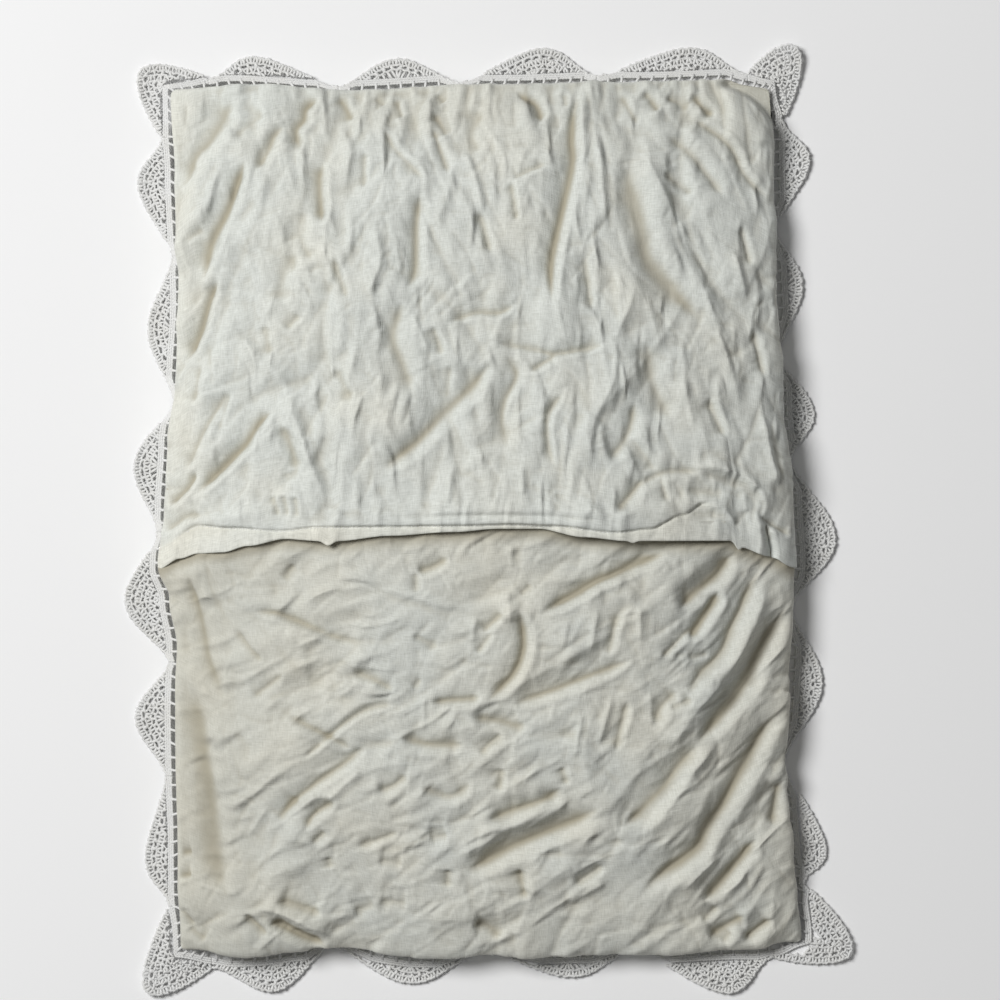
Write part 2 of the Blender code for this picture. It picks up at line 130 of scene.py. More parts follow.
# Creases of the upper back panel: half width, height (minus is a trough), then its points.
UPPER_CREASES = (
    (5.0, -4.6, (-189, 284), (-196, 265), (-205, 241), (-215, 223), (-221, 207), (-223, 183)),
    (4.2, -4.2, (-209, 188), (-219, 172), (-226, 149), (-238, 121)),
    (8.0, -3.4, (-200, 331), (-211, 311), (-220, 295), (-232, 281), (-238, 259)),
    (7.0, -2.6, (-175, 320), (-188, 308), (-202, 297)),
    (4.5, -3.6, (-132, 331), (-143, 322), (-145, 313), (-151, 304), (-148, 287)),
    (4.0, -2.6, (-160, 308), (-169, 299), (-173, 288), (-182, 271)),
    (5.0, -3.6, (-129, 279), (-133, 265), (-132, 247), (-130, 228)),
    (6.0, -2.0, (-145, 241), (-148, 220), (-136, 198)),
    (9.0, -2.8, (-149, 208), (-160, 192), (-165, 166)),
    (3.5, -3.0, (-118, 333), (-111, 321), (-107, 311)),
    (2.6, -1.8, (-84, 307), (-73, 288), (-58, 272), (-51, 262)),
    (5.0, -3.2, (-53, 258), (-55, 245), (-57, 226), (-58, 192), (-66, 176)),
    (8.0, -2.8, (-66, 172), (-75, 142), (-67, 118), (-59, 95)),
    (2.5, -1.6, (-97, 287), (-98, 256)),
    (4.0, -3.4, (-44, 318), (-38, 309), (-33, 298)),
    (3.5, -2.4, (-45, 308), (-38, 287), (-31, 267)),
    (3.0, -2.6, (-89, 332), (-82, 324)), (3.0, -2.6, (-73, 331), (-68, 313)),
    (3.5, -2.8, (-40, 333), (-35, 326)), (3.0, -1.6, (-223, 227), (-237, 216)),
    (4.2, -4.8, (75, 334), (67, 321), (64, 297), (65, 280), (60, 254), (52, 219), (48, 196),
     (49, 160)),
    (3.5, -3.2, (20, 336), (37, 324), (41, 308)),
    (8.0, -3.2, (-3, 320), (-14, 303), (-7, 283)),
    (2.6, -2.2, (58, 333), (60, 322)), (3.6, -3.6, (121, 336), (127, 328), (133, 318)),
    (3.0, -2.6, (138, 330), (148, 327), (156, 320)),
    (3.5, -3.2, (159, 334), (166, 324), (177, 315)), (2.6, -1.8, (102, 334), (117, 308)),
    (9.0, -4.4, (111, 284), (109, 261), (117, 231), (125, 200), (155, 165), (171, 147)),
    (4.5, 2.4, (123, 283), (132, 261), (144, 238), (156, 210)),
    (3.0, -2.2, (155, 317), (187, 293), (201, 268), (220, 250)),
    (5.0, -2.4, (135, 302), (155, 288), (171, 268), (185, 248)),
    (3.5, -2.2, (136, 271), (160, 252)), (2.5, -1.8, (17, 263), (22, 230)),
    (2.6, -1.5, (45, 277), (17, 264)),
    (3.0, -2.4, (22, 168), (8, 160), (-11, 160), (-33, 152)),
    (6.5, 3.2, (108, 188), (111, 173), (98, 140), (96, 109), (83, 80), (79, 54), (85, 34)),
    (5.5, 2.8, (160, 195), (172, 160), (184, 124), (195, 82)),
    (3.2, 2.8, (210, 82), (216, 50), (224, 22)),
    (8.5, -3.0, (122, 140), (128, 103), (142, 76)),
    (4.0, -2.4, (114, 92), (107, 65), (92, 44)), (3.0, -1.5, (109, 64), (129, 37)),
    (5.2, -4.4, (4, 124), (-16, 101), (-36, 82), (-55, 61), (-71, 48), (-84, 36)),
    (2.6, -2.0, (2, 137), (31, 132), (50, 128), (67, 130), (93, 136)),
    (2.6, -2.2, (53, 128), (31, 114)),
    (4.0, -3.0, (12, 128), (21, 112), (12, 92), (10, 73), (15, 53)),
    (3.0, -2.0, (60, 102), (46, 80), (46, 57), (51, 38)),
    (2.6, 1.5, (-30, 36), (-32, 9)), (2.6, 1.4, (25, 43), (26, 17)),
    (4.0, -2.6, (120, 32), (108, 17), (97, 4)), (3.0, -1.8, (132, 33), (138, 12)),
    (3.6, -2.0, (114, 25), (136, 36), (164, 37)),
    (3.8, 3.4, (155, 41), (180, 38), (201, 29), (212, 14), (210, 2)),
    (4.2, -1.7, (150, 22), (183, 20)), (3.0, 2.2, (167, 12), (182, 5), (190, -5)),
    (3.0, 2.2, (196, 20), (199, 4)),
    (4.2, -4.4, (-166, 87), (-180, 74), (-190, 58), (-202, 45), (-216, 31), (-229, 19)),
    (3.6, -3.2, (-227, 38), (-235, 25), (-251, 9)),
    (4.5, 2.9, (-165, 87), (-151, 79), (-142, 57), (-134, 34), (-126, 17)),
    (4.6, -2.8, (-163, 74), (-154, 56), (-149, 36)),
    (6.5, 2.2, (-181, 131), (-160, 106), (-148, 76)),
    (4.0, -2.2, (-176, 151), (-171, 127)), (3.2, -2.2, (-148, 159), (-158, 147)),
    (5.0, -2.2, (-203, 101), (-216, 80), (-228, 56), (-239, 33)),
    (2.6, -1.4, (-202, 100), (-211, 66)), (3.0, -1.6, (-161, 32), (-147, 38)),
    (4.0, -1.8, (-225, 122), (-231, 87)), (3.0, 1.8, (-130, 217), (-121, 180)),
    (4.0, 2.0, (-90, 230), (-84, 200), (-96, 170)), (3.0, -1.6, (-122, 204), (-110, 170)),
    (3.0, 1.8, (-20, 290), (-10, 262), (-4, 235)), (3.0, -1.8, (-8, 240), (2, 205)),
    (3.2, 1.8, (84, 300), (88, 262), (92, 226)), (3.0, -1.6, (74, 205), (80, 160)),
    (3.0, -1.6, (196, 230), (204, 196)), (3.0, 1.8, (188, 212), (200, 170)),
    (3.0, -1.8, (205, 150), (214, 110)), (3.0, 1.6, (150, 110), (158, 70)),
    (3.2, -1.8, (170, 95), (182, 62)), (3.2, -1.6, (-30, 120), (-34, 92)),
    (3.0, 1.4, (-104, 130), (-112, 96)), (3.0, -1.5, (-120, 118), (-106, 90)),
    (3.0, 1.6, (-60, 160), (-46, 128)), (3.2, -2.0, (-44, 150), (-36, 126)),
    (2.2, -2.6, (212, -2), (217, -14), (221, -36)), (1.9, -1.6, (-168, 18), (-165, 11), (-162, 2)),
    (1.9, -1.6, (-159, 19), (-157, 11), (-155, 2)), (1.9, -1.5, (-150, 18), (-149, 10), (-148, 1)),
    (3.4, -2.2, (-254, -11), (-243, -3), (-235, 2), (-222, 3)),
    (1.7, -1.0, (-80, 1), (-28, 2), (16, 2.5), (57, 1), (92, -2)),
    (3.0, -2.0, (207, 3), (219, -5), (236, -13)),
    (3.6, -1.5, (203, 26), (209, 17), (211, 9), (207, 0)))

# Creases of the lower back panel, in the same columns.
LOWER_CREASES = (
    (6.0, -2.8, (-236, -42), (-228, -73), (-222, -106), (-216, -123), (-210, -141)),
    (12.0, -3.6, (-238, -118), (-232, -146), (-228, -175), (-224, -198), (-221, -221),
     (-219, -245), (-216, -269), (-210, -287), (-201, -304)),
    (3.0, -2.4, (-186, -72), (-170, -73), (-161, -75), (-144, -82), (-128, -89), (-116, -93),
     (-97, -96)),
    (3.0, -1.4, (-199, -85), (-185, -102), (-175, -112)),
    (3.2, -2.2, (-159, -153), (-142, -161), (-126, -169), (-104, -181)),
    (4.0, 1.8, (-111, -114), (-70, -118)), (3.0, -2.2, (-107, -118), (-88, -126), (-73, -134)),
    (2.6, -1.8, (-70, -144), (-94, -148), (-116, -162), (-147, -189)),
    (3.6, -2.0, (-151, -35), (-160, -48)),
    (4.6, -4.8, (38, -76), (46, -70), (64, -60), (83, -49), (97, -43), (114, -35), (129, -30),
     (142, -24)),
    (4.2, -3.9, (22, -69), (26, -86), (26, -103), (19, -120), (8, -132), (-3, -144)),
    (4.0, -3.4, (15, -147), (29, -140), (50, -133), (70, -125), (89, -118), (113, -109)),
    (3.2, -2.8, (-46, -143), (-32, -141), (-16, -140), (-5, -139)),
    (5.2, -3.0, (-15, -154), (8, -157), (22, -161), (29, -156)),
    (3.0, -2.7, (11, -73), (3, -80), (-5, -88)), (3.0, -1.8, (3, -87), (-10, -105)),
    (5.0, 3.0, (14, -54), (15, -67), (16, -82)),
    (3.5, -2.7, (-57, -41), (-45, -38), (-31, -30)), (2.6, -1.4, (-57, -41), (-57, -58)),
    (3.2, 1.7, (-87, -53), (-58, -61), (-38, -67), (-18, -70)),
    (3.2, 2.0, (-10, -75), (-12, -86), (-13, -97)), (2.6, -1.8, (-53, -124), (-59, -132)),
    (1.8, 0.9, (-50, -135), (-51, -166)), (2.4, 1.3, (17, -20), (17, -39)),
    (3.0, -1.9, (33, -51), (24, -59)), (4.2, 2.0, (61, -79), (56, -102)),
    (5.2, -2.8, (-70, -169), (-50, -175), (-18, -176)),
    (4.2, -2.7, (11, -166), (0, -175), (-8, -184)),
    (5.2, -4.8, (193, -26), (185, -33), (178, -43), (169, -51), (160, -58), (147, -71)),
    (4.2, -4.8, (179, -54), (176, -64), (169, -75), (163, -84), (155, -96)),
    (5.0, -3.4, (213, -36), (205, -51), (197, -69), (190, -83), (183, -101), (175, -111),
     (163, -123), (152, -142)),
    (8.5, 3.2, (216, -52), (201, -90), (185, -119), (158, -149)),
    (5.2, -4.9, (233, -66), (224, -83), (216, -97), (209, -111), (204, -122), (194, -138),
     (183, -151), (171, -165), (159, -177)),
    (5.6, -4.8, (233, -144), (222, -156), (212, -170), (204, -186), (194, -203), (188, -214),
     (181, -226), (171, -241), (164, -255), (153, -265), (137, -276), (125, -286), (115, -296)),
    (2.6, -2.0, (133, -109), (144, -98), (158, -84)), (2.6, -1.6, (172, -105), (154, -109)),
    (5.2, -3.2, (147, -133), (134, -147), (129, -160)), (3.0, -2.0, (158, -140), (140, -148)),
    (3.2, 1.8, (116, -66), (117, -97)), (3.2, 1.6, (126, -162), (125, -134)),
    (8.0, 3.4, (181, -124), (167, -141), (148, -165), (139, -183)),
    (7.5, 3.4, (178, -174), (160, -195), (148, -212), (134, -231), (122, -245)),
    (7.0, -3.8, (166, -173), (154, -186), (145, -197), (137, -209), (125, -221), (114, -232),
     (100, -243)),
    (4.8, -4.6, (210, -249), (201, -261), (190, -274), (178, -289), (166, -301)),
    (5.0, -3.8, (229, -203), (226, -217), (222, -242)),
    (5.2, -4.6, (202, -311), (186, -320), (171, -329)), (4.0, -3.8, (222, -313), (199, -331)),
    (3.0, -2.6, (190, -324), (183, -333)), (3.2, -2.2, (179, -303), (167, -316)),
    (3.2, -2.6, (-94, -174), (-114, -191), (-131, -203), (-144, -213), (-154, -221),
     (-166, -235)),
    (6.0, -2.6, (-148, -216), (-166, -236)), (3.4, -2.6, (-119, -219), (-136, -230), (-144, -243)),
    (2.6, -1.8, (-127, -243), (-138, -253)), (4.2, -3.0, (-167, -298), (-152, -302), (-130, -309)),
    (3.6, -5.0, (-174, -319), (-165, -317), (-155, -322), (-142, -329), (-127, -335)),
    (6.5, 4.2, (-184, -304), (-167, -305), (-143, -315), (-121, -326)),
    (2.6, -2.0, (-192, -308), (-180, -319), (-172, -326)), (3.2, -2.2, (-242, -305), (-231, -319)),
    (4.0, -2.2, (-237, -320), (-222, -331)), (3.0, -3.0, (-243, -262), (-234, -261)),
    (3.0, -3.0, (-243, -280), (-233, -279)), (3.0, -2.2, (-126, -263), (-124, -273)),
    (3.0, -1.6, (-103, -257), (-69, -243)), (3.2, 1.8, (-98, -193), (-127, -220)),
    (6.0, -2.3, (-106, -308), (-89, -300)),
    (5.4, -4.2, (58, -208), (50, -214), (40, -220), (22, -226), (9, -231), (-4, -235)),
    (8.5, 4.0, (60, -219), (34, -230), (10, -242), (-8, -253), (-27, -262)),
    (6.2, -4.4, (88, -222), (76, -231), (58, -239), (34, -249), (16, -257), (0, -266), (-12, -272),
     (-24, -272)),
    (4.2, -2.8, (-32, -272), (-33, -288)), (4.2, -3.2, (23, -271), (26, -286), (29, -297)),
    (5.2, 2.3, (1, -280), (-3, -295), (-10, -306)), (6.5, -4.4, (-14, -317), (-2, -319), (9, -330)),
    (4.2, -2.7, (-47, -249), (-32, -246)), (3.6, -2.2, (-87, -212), (-74, -207), (-64, -198)),
    (4.2, -2.0, (-55, -208), (-31, -216), (-13, -205)), (3.0, -2.2, (10, -193), (8, -213)),
    (5.2, -2.2, (-87, -267), (-67, -270)), (6.0, -2.3, (-87, -299), (-63, -301)),
    (3.0, -2.2, (56, -192), (61, -207)), (3.0, 1.6, (84, -70), (78, -104)),
    (3.0, -1.6, (100, -72), (92, -108)), (3.2, 1.8, (96, -136), (84, -178)),
    (3.0, -1.8, (108, -140), (98, -182)), (3.0, 1.6, (72, -150), (66, -186)),
    (3.4, 1.8, (-150, -100), (-120, -86)), (3.4, -1.6, (-186, -140), (-160, -120)),
    (3.4, 1.6, (-190, -250), (-172, -224)), (3.0, -1.6, (-60, -90), (-40, -100)),
    (3.0, 1.6, (-130, -140), (-104, -132)), (3.4, -1.8, (66, -286), (90, -270)),
    (3.4, 2.0, (60, -300), (92, -282)), (3.4, 1.8, (150, -290), (178, -262)))

# The lower back panel sags along its left side.
LOWER_SAG = (
    (24.0, -2.2, (-222, -40), (-212, -110), (-203, -180), (-196, -240), (-186, -310)),)

# Crochet scallops, clockwise from the head's left corner: the valley before each, its tip, how far
# its edge curls up, and how pointed it is (larger is more pointed, with wider valleys).
SCALLOPS = (
    (-257.0, 299.5, -274.0, 352.0, 3.0, 0.8), (-220.7, 345.0, -184.0, 362.4, 1.0, 1.6),
    (-118.4, 338.5, -73.0, 361.0, 1.5, 1.6), (-23.2, 342.0, 41.0, 369.0, 2.0, 1.6),
    (84.6, 347.5, 157.0, 369.5, 1.0, 1.6), (203.0, 349.0, 242.0, 369.0, 6.0, 0.55),
    (230.2, 314.0, 251.0, 280.0, 2.0, 1.6), (224.0, 228.0, 245.5, 183.0, 1.5, 1.6),
    (226.0, 128.0, 254.6, 84.0, 1.0, 1.6), (237.0, 46.0, 271.5, -16.0, 1.0, 1.6),
    (237.0, -70.4, 261.0, -130.0, 1.0, 1.6), (231.0, -191.0, 264.0, -258.0, 1.5, 1.6),
    (247.5, -288.0, 284.0, -341.0, 3.0, 0.8), (224.0, -345.0, 186.0, -372.5, 2.5, 1.6),
    (113.7, -339.0, 65.0, -360.0, 1.0, 1.6), (-4.3, -340.0, -62.0, -365.0, 1.5, 1.6),
    (-124.7, -336.0, -168.0, -371.0, 2.0, 1.6), (-218.4, -353.0, -270.0, -371.0, 4.0, 0.8),
    (-251.4, -305.0, -270.0, -268.0, 1.0, 1.6), (-254.0, -202.6, -278.0, -156.0, 1.0, 1.6),
    (-251.5, -113.0, -286.0, -66.0, 1.0, 1.6), (-261.0, -10.6, -279.0, 43.0, 1.5, 1.6),
    (-247.5, 92.0, -268.0, 148.0, 1.0, 1.6), (-248.5, 206.0, -276.0, 262.0, 1.0, 1.6))
SIDE_SCALLOPS = 6             # scallops to one length of edging


class ShamBodySettings(bpy.types.PropertyGroup):
    crown: FloatProperty(
        name="Crown", description="Height of the filled middle", default=72.0 * MM,
        min=0.02, max=0.2, unit='LENGTH')
    seam_height: FloatProperty(
        name="Seam Height", description="Mean height of the seam over the table",
        default=10.0 * MM, min=0.0, max=0.05, unit='LENGTH')
    cell: FloatProperty(
        name="Cell", description="Size of the cloth's mesh cells", default=1.46 * MM,
        min=0.001, max=0.02, unit='LENGTH')
    crumple: FloatProperty(
        name="Crumple", description="Strength of the small crumples", default=1.0,
        min=0.0, max=3.0)
    crumple_seed: IntProperty(
        name="Crumple Seed", description="Changes the small crumples", default=7, min=0)
    lip_lift: FloatProperty(
        name="Lip Lift", description="How far the lip of the opening stands up",
        default=4.2 * MM, min=0.0, max=0.02, unit='LENGTH')
    hem: FloatProperty(
        name="Hem", description="Thickness of the folded hem", default=2.2 * MM,
        min=0.001, max=0.006, unit='LENGTH')
    roll: FloatProperty(
        name="Roll", description="Height of the roll of cloth over the hem stitching",
        default=4.0 * MM, min=0.0, max=0.02, unit='LENGTH')


class LinenSettings(bpy.types.PropertyGroup):
    ivory: FloatVectorProperty(
        name="Ivory", description="Colour of the linen", subtype='COLOR', size=3,
        default=(0.69, 0.712, 0.675), min=0.0, max=1.0)
    cream: FloatVectorProperty(
        name="Cream", description="Warmer colour of the hem and of aged places",
        subtype='COLOR', size=3, default=(0.765, 0.735, 0.63), min=0.0, max=1.0)
    # Painted shade: the dark warm colour painted deep in the creases and where shadows fall.
    painted_shade: FloatVectorProperty(
        name="Hollow", description="Colour deep in the creases", subtype='COLOR', size=3,
        default=(0.40, 0.37, 0.285), min=0.0, max=1.0)
    thread_pitch: FloatProperty(
        name="Thread Pitch", description="Distance between threads of the weave",
        default=0.75 * MM, min=0.0002, max=0.003, unit='LENGTH')


class CrochetSettings(bpy.types.PropertyGroup):
    thread: FloatProperty(
        name="Thread", description="Radius of the crochet thread", default=0.9 * MM,
        min=0.0002, max=0.002, unit='LENGTH')
    ladder: FloatProperty(
        name="Ladder", description="Width of the open ladder beside the cloth",
        default=5.8 * MM, min=0.002, max=0.02, unit='LENGTH')
    rung_pitch: FloatProperty(
        name="Rung Pitch", description="Distance between the ladder's rungs",
        default=10.4 * MM, min=0.004, max=0.03, unit='LENGTH')
    cotton: FloatVectorProperty(
        name="Cotton", description="Colour of the crochet thread", subtype='COLOR', size=3,
        default=(0.78, 0.785, 0.785), min=0.0, max=1.0)
    seed: IntProperty(
        name="Stitch Seed", description="Changes the unevenness of the stitches", default=11,
        min=0)


class StageSettings(bpy.types.PropertyGroup):
    floor: FloatVectorProperty(
        name="Floor", description="Colour of the floor", subtype='COLOR', size=3,
        default=(0.93, 0.93, 0.93), min=0.0, max=1.0)
    key: FloatProperty(
        name="Key", description="Power of the main light, in watts", default=178.0, min=0.0)
    key_place: FloatVectorProperty(
        name="Key Place", description="Where the main light hangs", subtype='TRANSLATION', size=3,
        default=(-2.3, 1.3, 3.6), unit='LENGTH')
    key_size: FloatProperty(
        name="Key Size", description="Width of the main light", default=2.0, min=0.1,
        unit='LENGTH')
    fill: FloatProperty(
        name="Fill", description="Strength of the light from all round", default=0.14, min=0.0)
    camera_height: FloatProperty(
        name="Camera Height", description="Height of the camera over the floor", default=5.0,
        min=0.5, unit='LENGTH')
    view_width: FloatProperty(
        name="View Width", description="Width of floor that the camera sees", default=0.787,
        min=0.1, unit='LENGTH')


def smooth(share):
    """Ease from 0 to 1."""
    share = np.clip(share, 0.0, 1.0)
    return share * share * (3.0 - 2.0 * share)


def ramp(place, start, end):
    """0 up to the start, easing to 1 at the end."""
    return smooth((place - start) / (end - start))


def hump(place, middle, half):
    """1 at the middle, fading away over a half width on both sides."""
    return np.exp(-((place - middle) / half) ** 2)


def read(table, place, column=1):
    """Values of a table's column at places along it, eased between its rows."""
    rows = np.array(table)
    place = np.clip(place, rows[0, 0], rows[-1, 0])
    index = np.clip(np.searchsorted(rows[:, 0], place, side="right") - 1, 0, len(rows) - 2)
    low, high = rows[index], rows[index + 1]
    share = smooth((place - low[..., 0]) / (high[..., 0] - low[..., 0]))
    return low[..., column] + (high[..., column] - low[..., column]) * share


def mix(start, end, share):
    """A share of the way from start to end."""
    return start + (end - start) * share


def rise(distance, half):
    """Share of the crown's height at a distance in from one side."""
    from_middle = np.clip(1.0 - distance / half, 0.0, 1.0)
    return np.clip(1.0 - from_middle ** CROWN_POWER, 0.0, 1.0) ** CROWN_ROUND


def bulge(table, place, distance, corner_distance):
    """How far the side stands out past a straight line in from its seam."""
    fill = 1.0 - np.exp(-corner_distance / CORNER_FILL)
    size = BULGE_BASE * fill + BULGE_SHARE * read(table, place, 2)
    step = distance / BULGE_PEAK
    return size * step * np.exp(1.0 - step)


def pocket(u, v):
    """Points of the filled pocket's back, for u and v from -1 to 1 across and up it."""
    body = bpy.context.scene.sham_body
    across, up = (u + 1.0) / 2.0, (v + 1.0) / 2.0
    level = mix(BOTTOM_SIDE[0][1], TOP_SIDE[0][1], up)
    left, right = read(LEFT_SIDE, level), read(RIGHT_SIDE, level)
    aside = mix(left, right, across)
    bottom, top = read(BOTTOM_SIDE, aside), read(TOP_SIDE, aside)
    width, height = right - left, top - bottom
    from_left, from_bottom = across * width, up * height
    from_right, from_top = width - from_left, height - from_bottom
    near_x, near_y = np.minimum(from_left, from_right), np.minimum(from_bottom, from_top)
    x = left + from_left - bulge(LEFT_SIDE, level, from_left, near_y)
    x = x + bulge(RIGHT_SIDE, level, from_right, near_y)
    y = bottom + from_bottom - bulge(BOTTOM_SIDE, aside, from_bottom, near_x)
    y = y + bulge(TOP_SIDE, aside, from_top, near_x)
    base = body.seam_height / MM + SEAM_TILT * (v - u)
    z = base + (body.crown / MM - base) * rise(near_x, width / 2.0) * rise(near_y, height / 2.0)
    return np.stack([x, y, z], axis=-1)


def outward(u, v):
    """Unit normals of the pocket's back."""
    step = 0.002
    along_u = pocket(np.minimum(1.0, u + step), v) - pocket(np.maximum(-1.0, u - step), v)
    along_v = pocket(u, np.minimum(1.0, v + step)) - pocket(u, np.maximum(-1.0, v - step))
    normal = np.cross(along_u, along_v)
    return normal / np.linalg.norm(normal, axis=-1, keepdims=True)


def v_at(u, y):
    """The v whose point in a column lies near a height y on the back."""
    aside = mix(read(LEFT_SIDE, y), read(RIGHT_SIDE, y), (u + 1.0) / 2.0)
    bottom, top = read(BOTTOM_SIDE, aside), read(TOP_SIDE, aside)
    return 2.0 * (y - bottom) / (top - bottom) - 1.0


def even_places(points, spacing):
    """Places from 0 to 1 along a line of points, a spacing apart, and the line's length."""
    steps = np.linalg.norm(np.diff(points, axis=0), axis=1)
    run = np.concatenate([[0.0], np.cumsum(steps)])
    count = max(2, int(round(run[-1] / spacing)))
    wanted = np.linspace(0.0, run[-1], count + 1)
    return np.interp(wanted, run, np.linspace(0.0, 1.0, len(points))), run[-1]


CELL_COUNT = 64               # cells along a square of noise before it repeats


def random_cells(seed):
    """A repeating square of random numbers, four to a cell."""
    return np.random.default_rng(seed).random((CELL_COUNT, CELL_COUNT, 4))


def soft_noise(x, y, size, cells):
    """Smooth noise from -1 to 1, with lumps of a size."""
    column, row = np.floor(x / size).astype(int), np.floor(y / size).astype(int)
    over, up = smooth(x / size - column), smooth(y / size - row)
    values = [cells[(column + i) % CELL_COUNT, (row + j) % CELL_COUNT, 0]
              for j in (0, 1) for i in (0, 1)]
    return 2.0 * mix(mix(values[0], values[1], over), mix(values[2], values[3], over), up) - 1.0


def facets(x, y, size, cells):
    """Height of small flat patches, each tilted its own way, that meet in soft creases."""
    column, row = np.floor(x / size).astype(int), np.floor(y / size).astype(int)
    total, weights = 0.0, 1e-9
    for i in (-1, 0, 1):
        for j in (-1, 0, 1):
            cell = cells[(column + i) % CELL_COUNT, (row + j) % CELL_COUNT]
            over = x / size - (column + i + cell[..., 0])
            up = y / size - (row + j + cell[..., 1])
            weight = np.exp(-9.0 * (over ** 2 + up ** 2))
            total = total + weight * ((cell[..., 2] - 0.5) * over + (cell[..., 3] - 0.5) * up)
            weights = weights + weight
    return size * total / weights


def rounded_line(points, pieces=5):
    """A curve through the points."""
    points = np.array(points, float)
    ends = np.concatenate([[2.0 * points[0] - points[1]], points, [2.0 * points[-1] - points[-2]]])
    share = np.linspace(0.0, 1.0, pieces, endpoint=False)[:, None]
    line = []
    for a, b, c, d in zip(ends, ends[1:], ends[2:], ends[3:]):
        line.append(b + 0.5 * share * (c - a + share * (
            2.0 * a - 5.0 * b + 4.0 * c - d + share * (3.0 * (b - c) + d - a))))
    return np.concatenate(line + [points[-1:]])


# The way from a crease to its easy side, and the scale of the crease tables' sizes.
EASY_SIDE = (-0.78, 0.62)
TROUGH_SCALE = 2.75
RIDGE_SCALE = 1.6
WIDTH_SCALE = 0.85


def add_crease(total, x, y, half_width, height, points, lean):
    """Adds one crease to the heights: a trough or ridge, steep on one side and easy on the other."""
    line = rounded_line(points)
    reach = 6.5 * half_width
    near = (x > line[:, 0].min() - reach) & (x < line[:, 0].max() + reach)
    near &= (y > line[:, 1].min() - reach) & (y < line[:, 1].max() + reach)
    if not near.any():
        return
    at_x, at_y = x[near], y[near]
    run = np.concatenate([[0.0], np.cumsum(np.linalg.norm(np.diff(line, axis=0), axis=1))])
    best, side, along = np.full(at_x.shape, 1e9), np.zeros(at_x.shape), np.zeros(at_x.shape)
    for start, end, before in zip(line, line[1:], run):
        way = end - start
        length = max(np.hypot(*way), 1e-6)
        off_x, off_y = at_x - start[0], at_y - start[1]
        share = np.clip((off_x * way[0] + off_y * way[1]) / length ** 2, 0.0, 1.0)
        distance = np.hypot(off_x - share * way[0], off_y - share * way[1])
        closer = distance < best
        turned = np.sign(way[0] * off_y - way[1] * off_x)
        best = np.where(closer, distance, best)
        side = np.where(closer, distance * turned, side)
        along = np.where(closer, before + share * length, along)
    share = along / run[-1]
    taper = smooth(share / 0.22) * smooth((1.0 - share) / 0.22)
    width = half_width * (0.55 + 0.45 * taper)
    over = line[-1] - line[0]
    steep = -np.sign(over[0] * EASY_SIDE[1] - over[1] * EASY_SIDE[0] + 1e-9)
    place = side * steep / width
    place = place * np.where(place > 0.0, 1.0 + lean, 1.0 - lean)
    size = np.abs(place)
    power = mix(1.2, 2.0, ramp(half_width, 5.0, 11.0))
    easy = 0.65 * np.exp(-size ** power) + 0.35 * hump(size, 0.0, 3.0)
    sharp = np.exp(-size ** power) - 0.14 * hump(size, 2.3, 0.9)
    total[near] += height * taper * np.where(place > 0.0, sharp, easy)


def crease_heights(x, y, table, seed):
    """Sum of a panel's main creases; a short one is shallower."""
    rng = np.random.default_rng(seed)
    total = np.zeros(x.shape)
    for half_width, height, *points in table:
        length = np.linalg.norm(np.diff(np.array(points, float), axis=0), axis=1).sum()
        short = min(1.0, 0.35 + length / (15.0 * half_width))
        tall = height * (TROUGH_SCALE if height < 0.0 else RIDGE_SCALE) * short
        lean = rng.uniform(-0.15, 0.25)
        add_crease(total, x, y, WIDTH_SCALE * half_width, tall, points, lean)
    return total


def upper_way(x, y):
    """Direction of the upper panel's small crumples: down from the head, and to the left below."""
    below = ramp(y, 110.0, -10.0) * ramp(x, 20.0, -140.0)
    fan = -0.0016 * (x + 20.0)
    return -math.pi / 2.0 - fan - 0.75 * below


def lower_way(x, y):
    """Direction of the lower panel's small crumples: bands that rise to the right."""
    rising = math.radians(20.0) + math.radians(34.0) * ramp(x, -20.0, 180.0)
    upright = ramp(x, -200.0, -230.0)
    return mix(rising, math.radians(98.0), upright)


def crumple_heights(x, y, way, kind, rng):
    """Sum of many creases that run more or less one way."""
    count, length_range, width_range, height_range, scatter = kind
    total = np.zeros(x.shape)
    low_x, high_x, low_y, high_y = x.min(), x.max(), y.min(), y.max()
    for _ in range(count):
        centre = np.array([rng.uniform(low_x, high_x), rng.uniform(low_y, high_y)])
        angle = way(centre[0], centre[1]) + rng.normal(0.0, scatter)
        along = np.array([math.cos(angle), math.sin(angle)])
        aside = np.array([-along[1], along[0]])
        length = rng.uniform(*length_range)
        bend = rng.normal(0.0, 0.09) * length
        points = (centre - along * length / 2.0, centre + aside * bend,
                  centre + along * length / 2.0 + aside * rng.normal(0.0, 0.07) * length)
        half_width = rng.uniform(*width_range)
        height = rng.choice((-1.3, -1.3, -1.3, 1.0)) * half_width * rng.uniform(*height_range)
        add_crease(total, x, y, half_width, height, points, rng.uniform(-0.4, 0.4))
    return total


def seam_gathers(x, y, rng):
    """Small gathers that run down from the head seam."""
    total = np.zeros(x.shape)
    place = -126.0
    while place < 214.0:
        top = float(read(TOP_SIDE, np.array(place)))
        length = rng.uniform(12.0, 46.0)
        angle = -math.pi / 2.0 + 0.0018 * (place + 20.0) + rng.normal(0.0, 0.2)
        end = (place + math.cos(angle) * length, top + math.sin(angle) * length)
        middle = (mix(place, end[0], 0.5) + rng.normal(0.0, 1.5), mix(top, end[1], 0.5))
        points = ((place, top + 8.0), middle, end)
        half_width = rng.uniform(2.2, 4.2)
        height = rng.choice((-1.0, -1.0, 1.0)) * half_width * rng.uniform(0.25, 0.75)
        add_crease(total, x, y, half_width, height, points, rng.uniform(-0.4, 0.4))
        place += rng.uniform(5.0, 12.0)
    return total


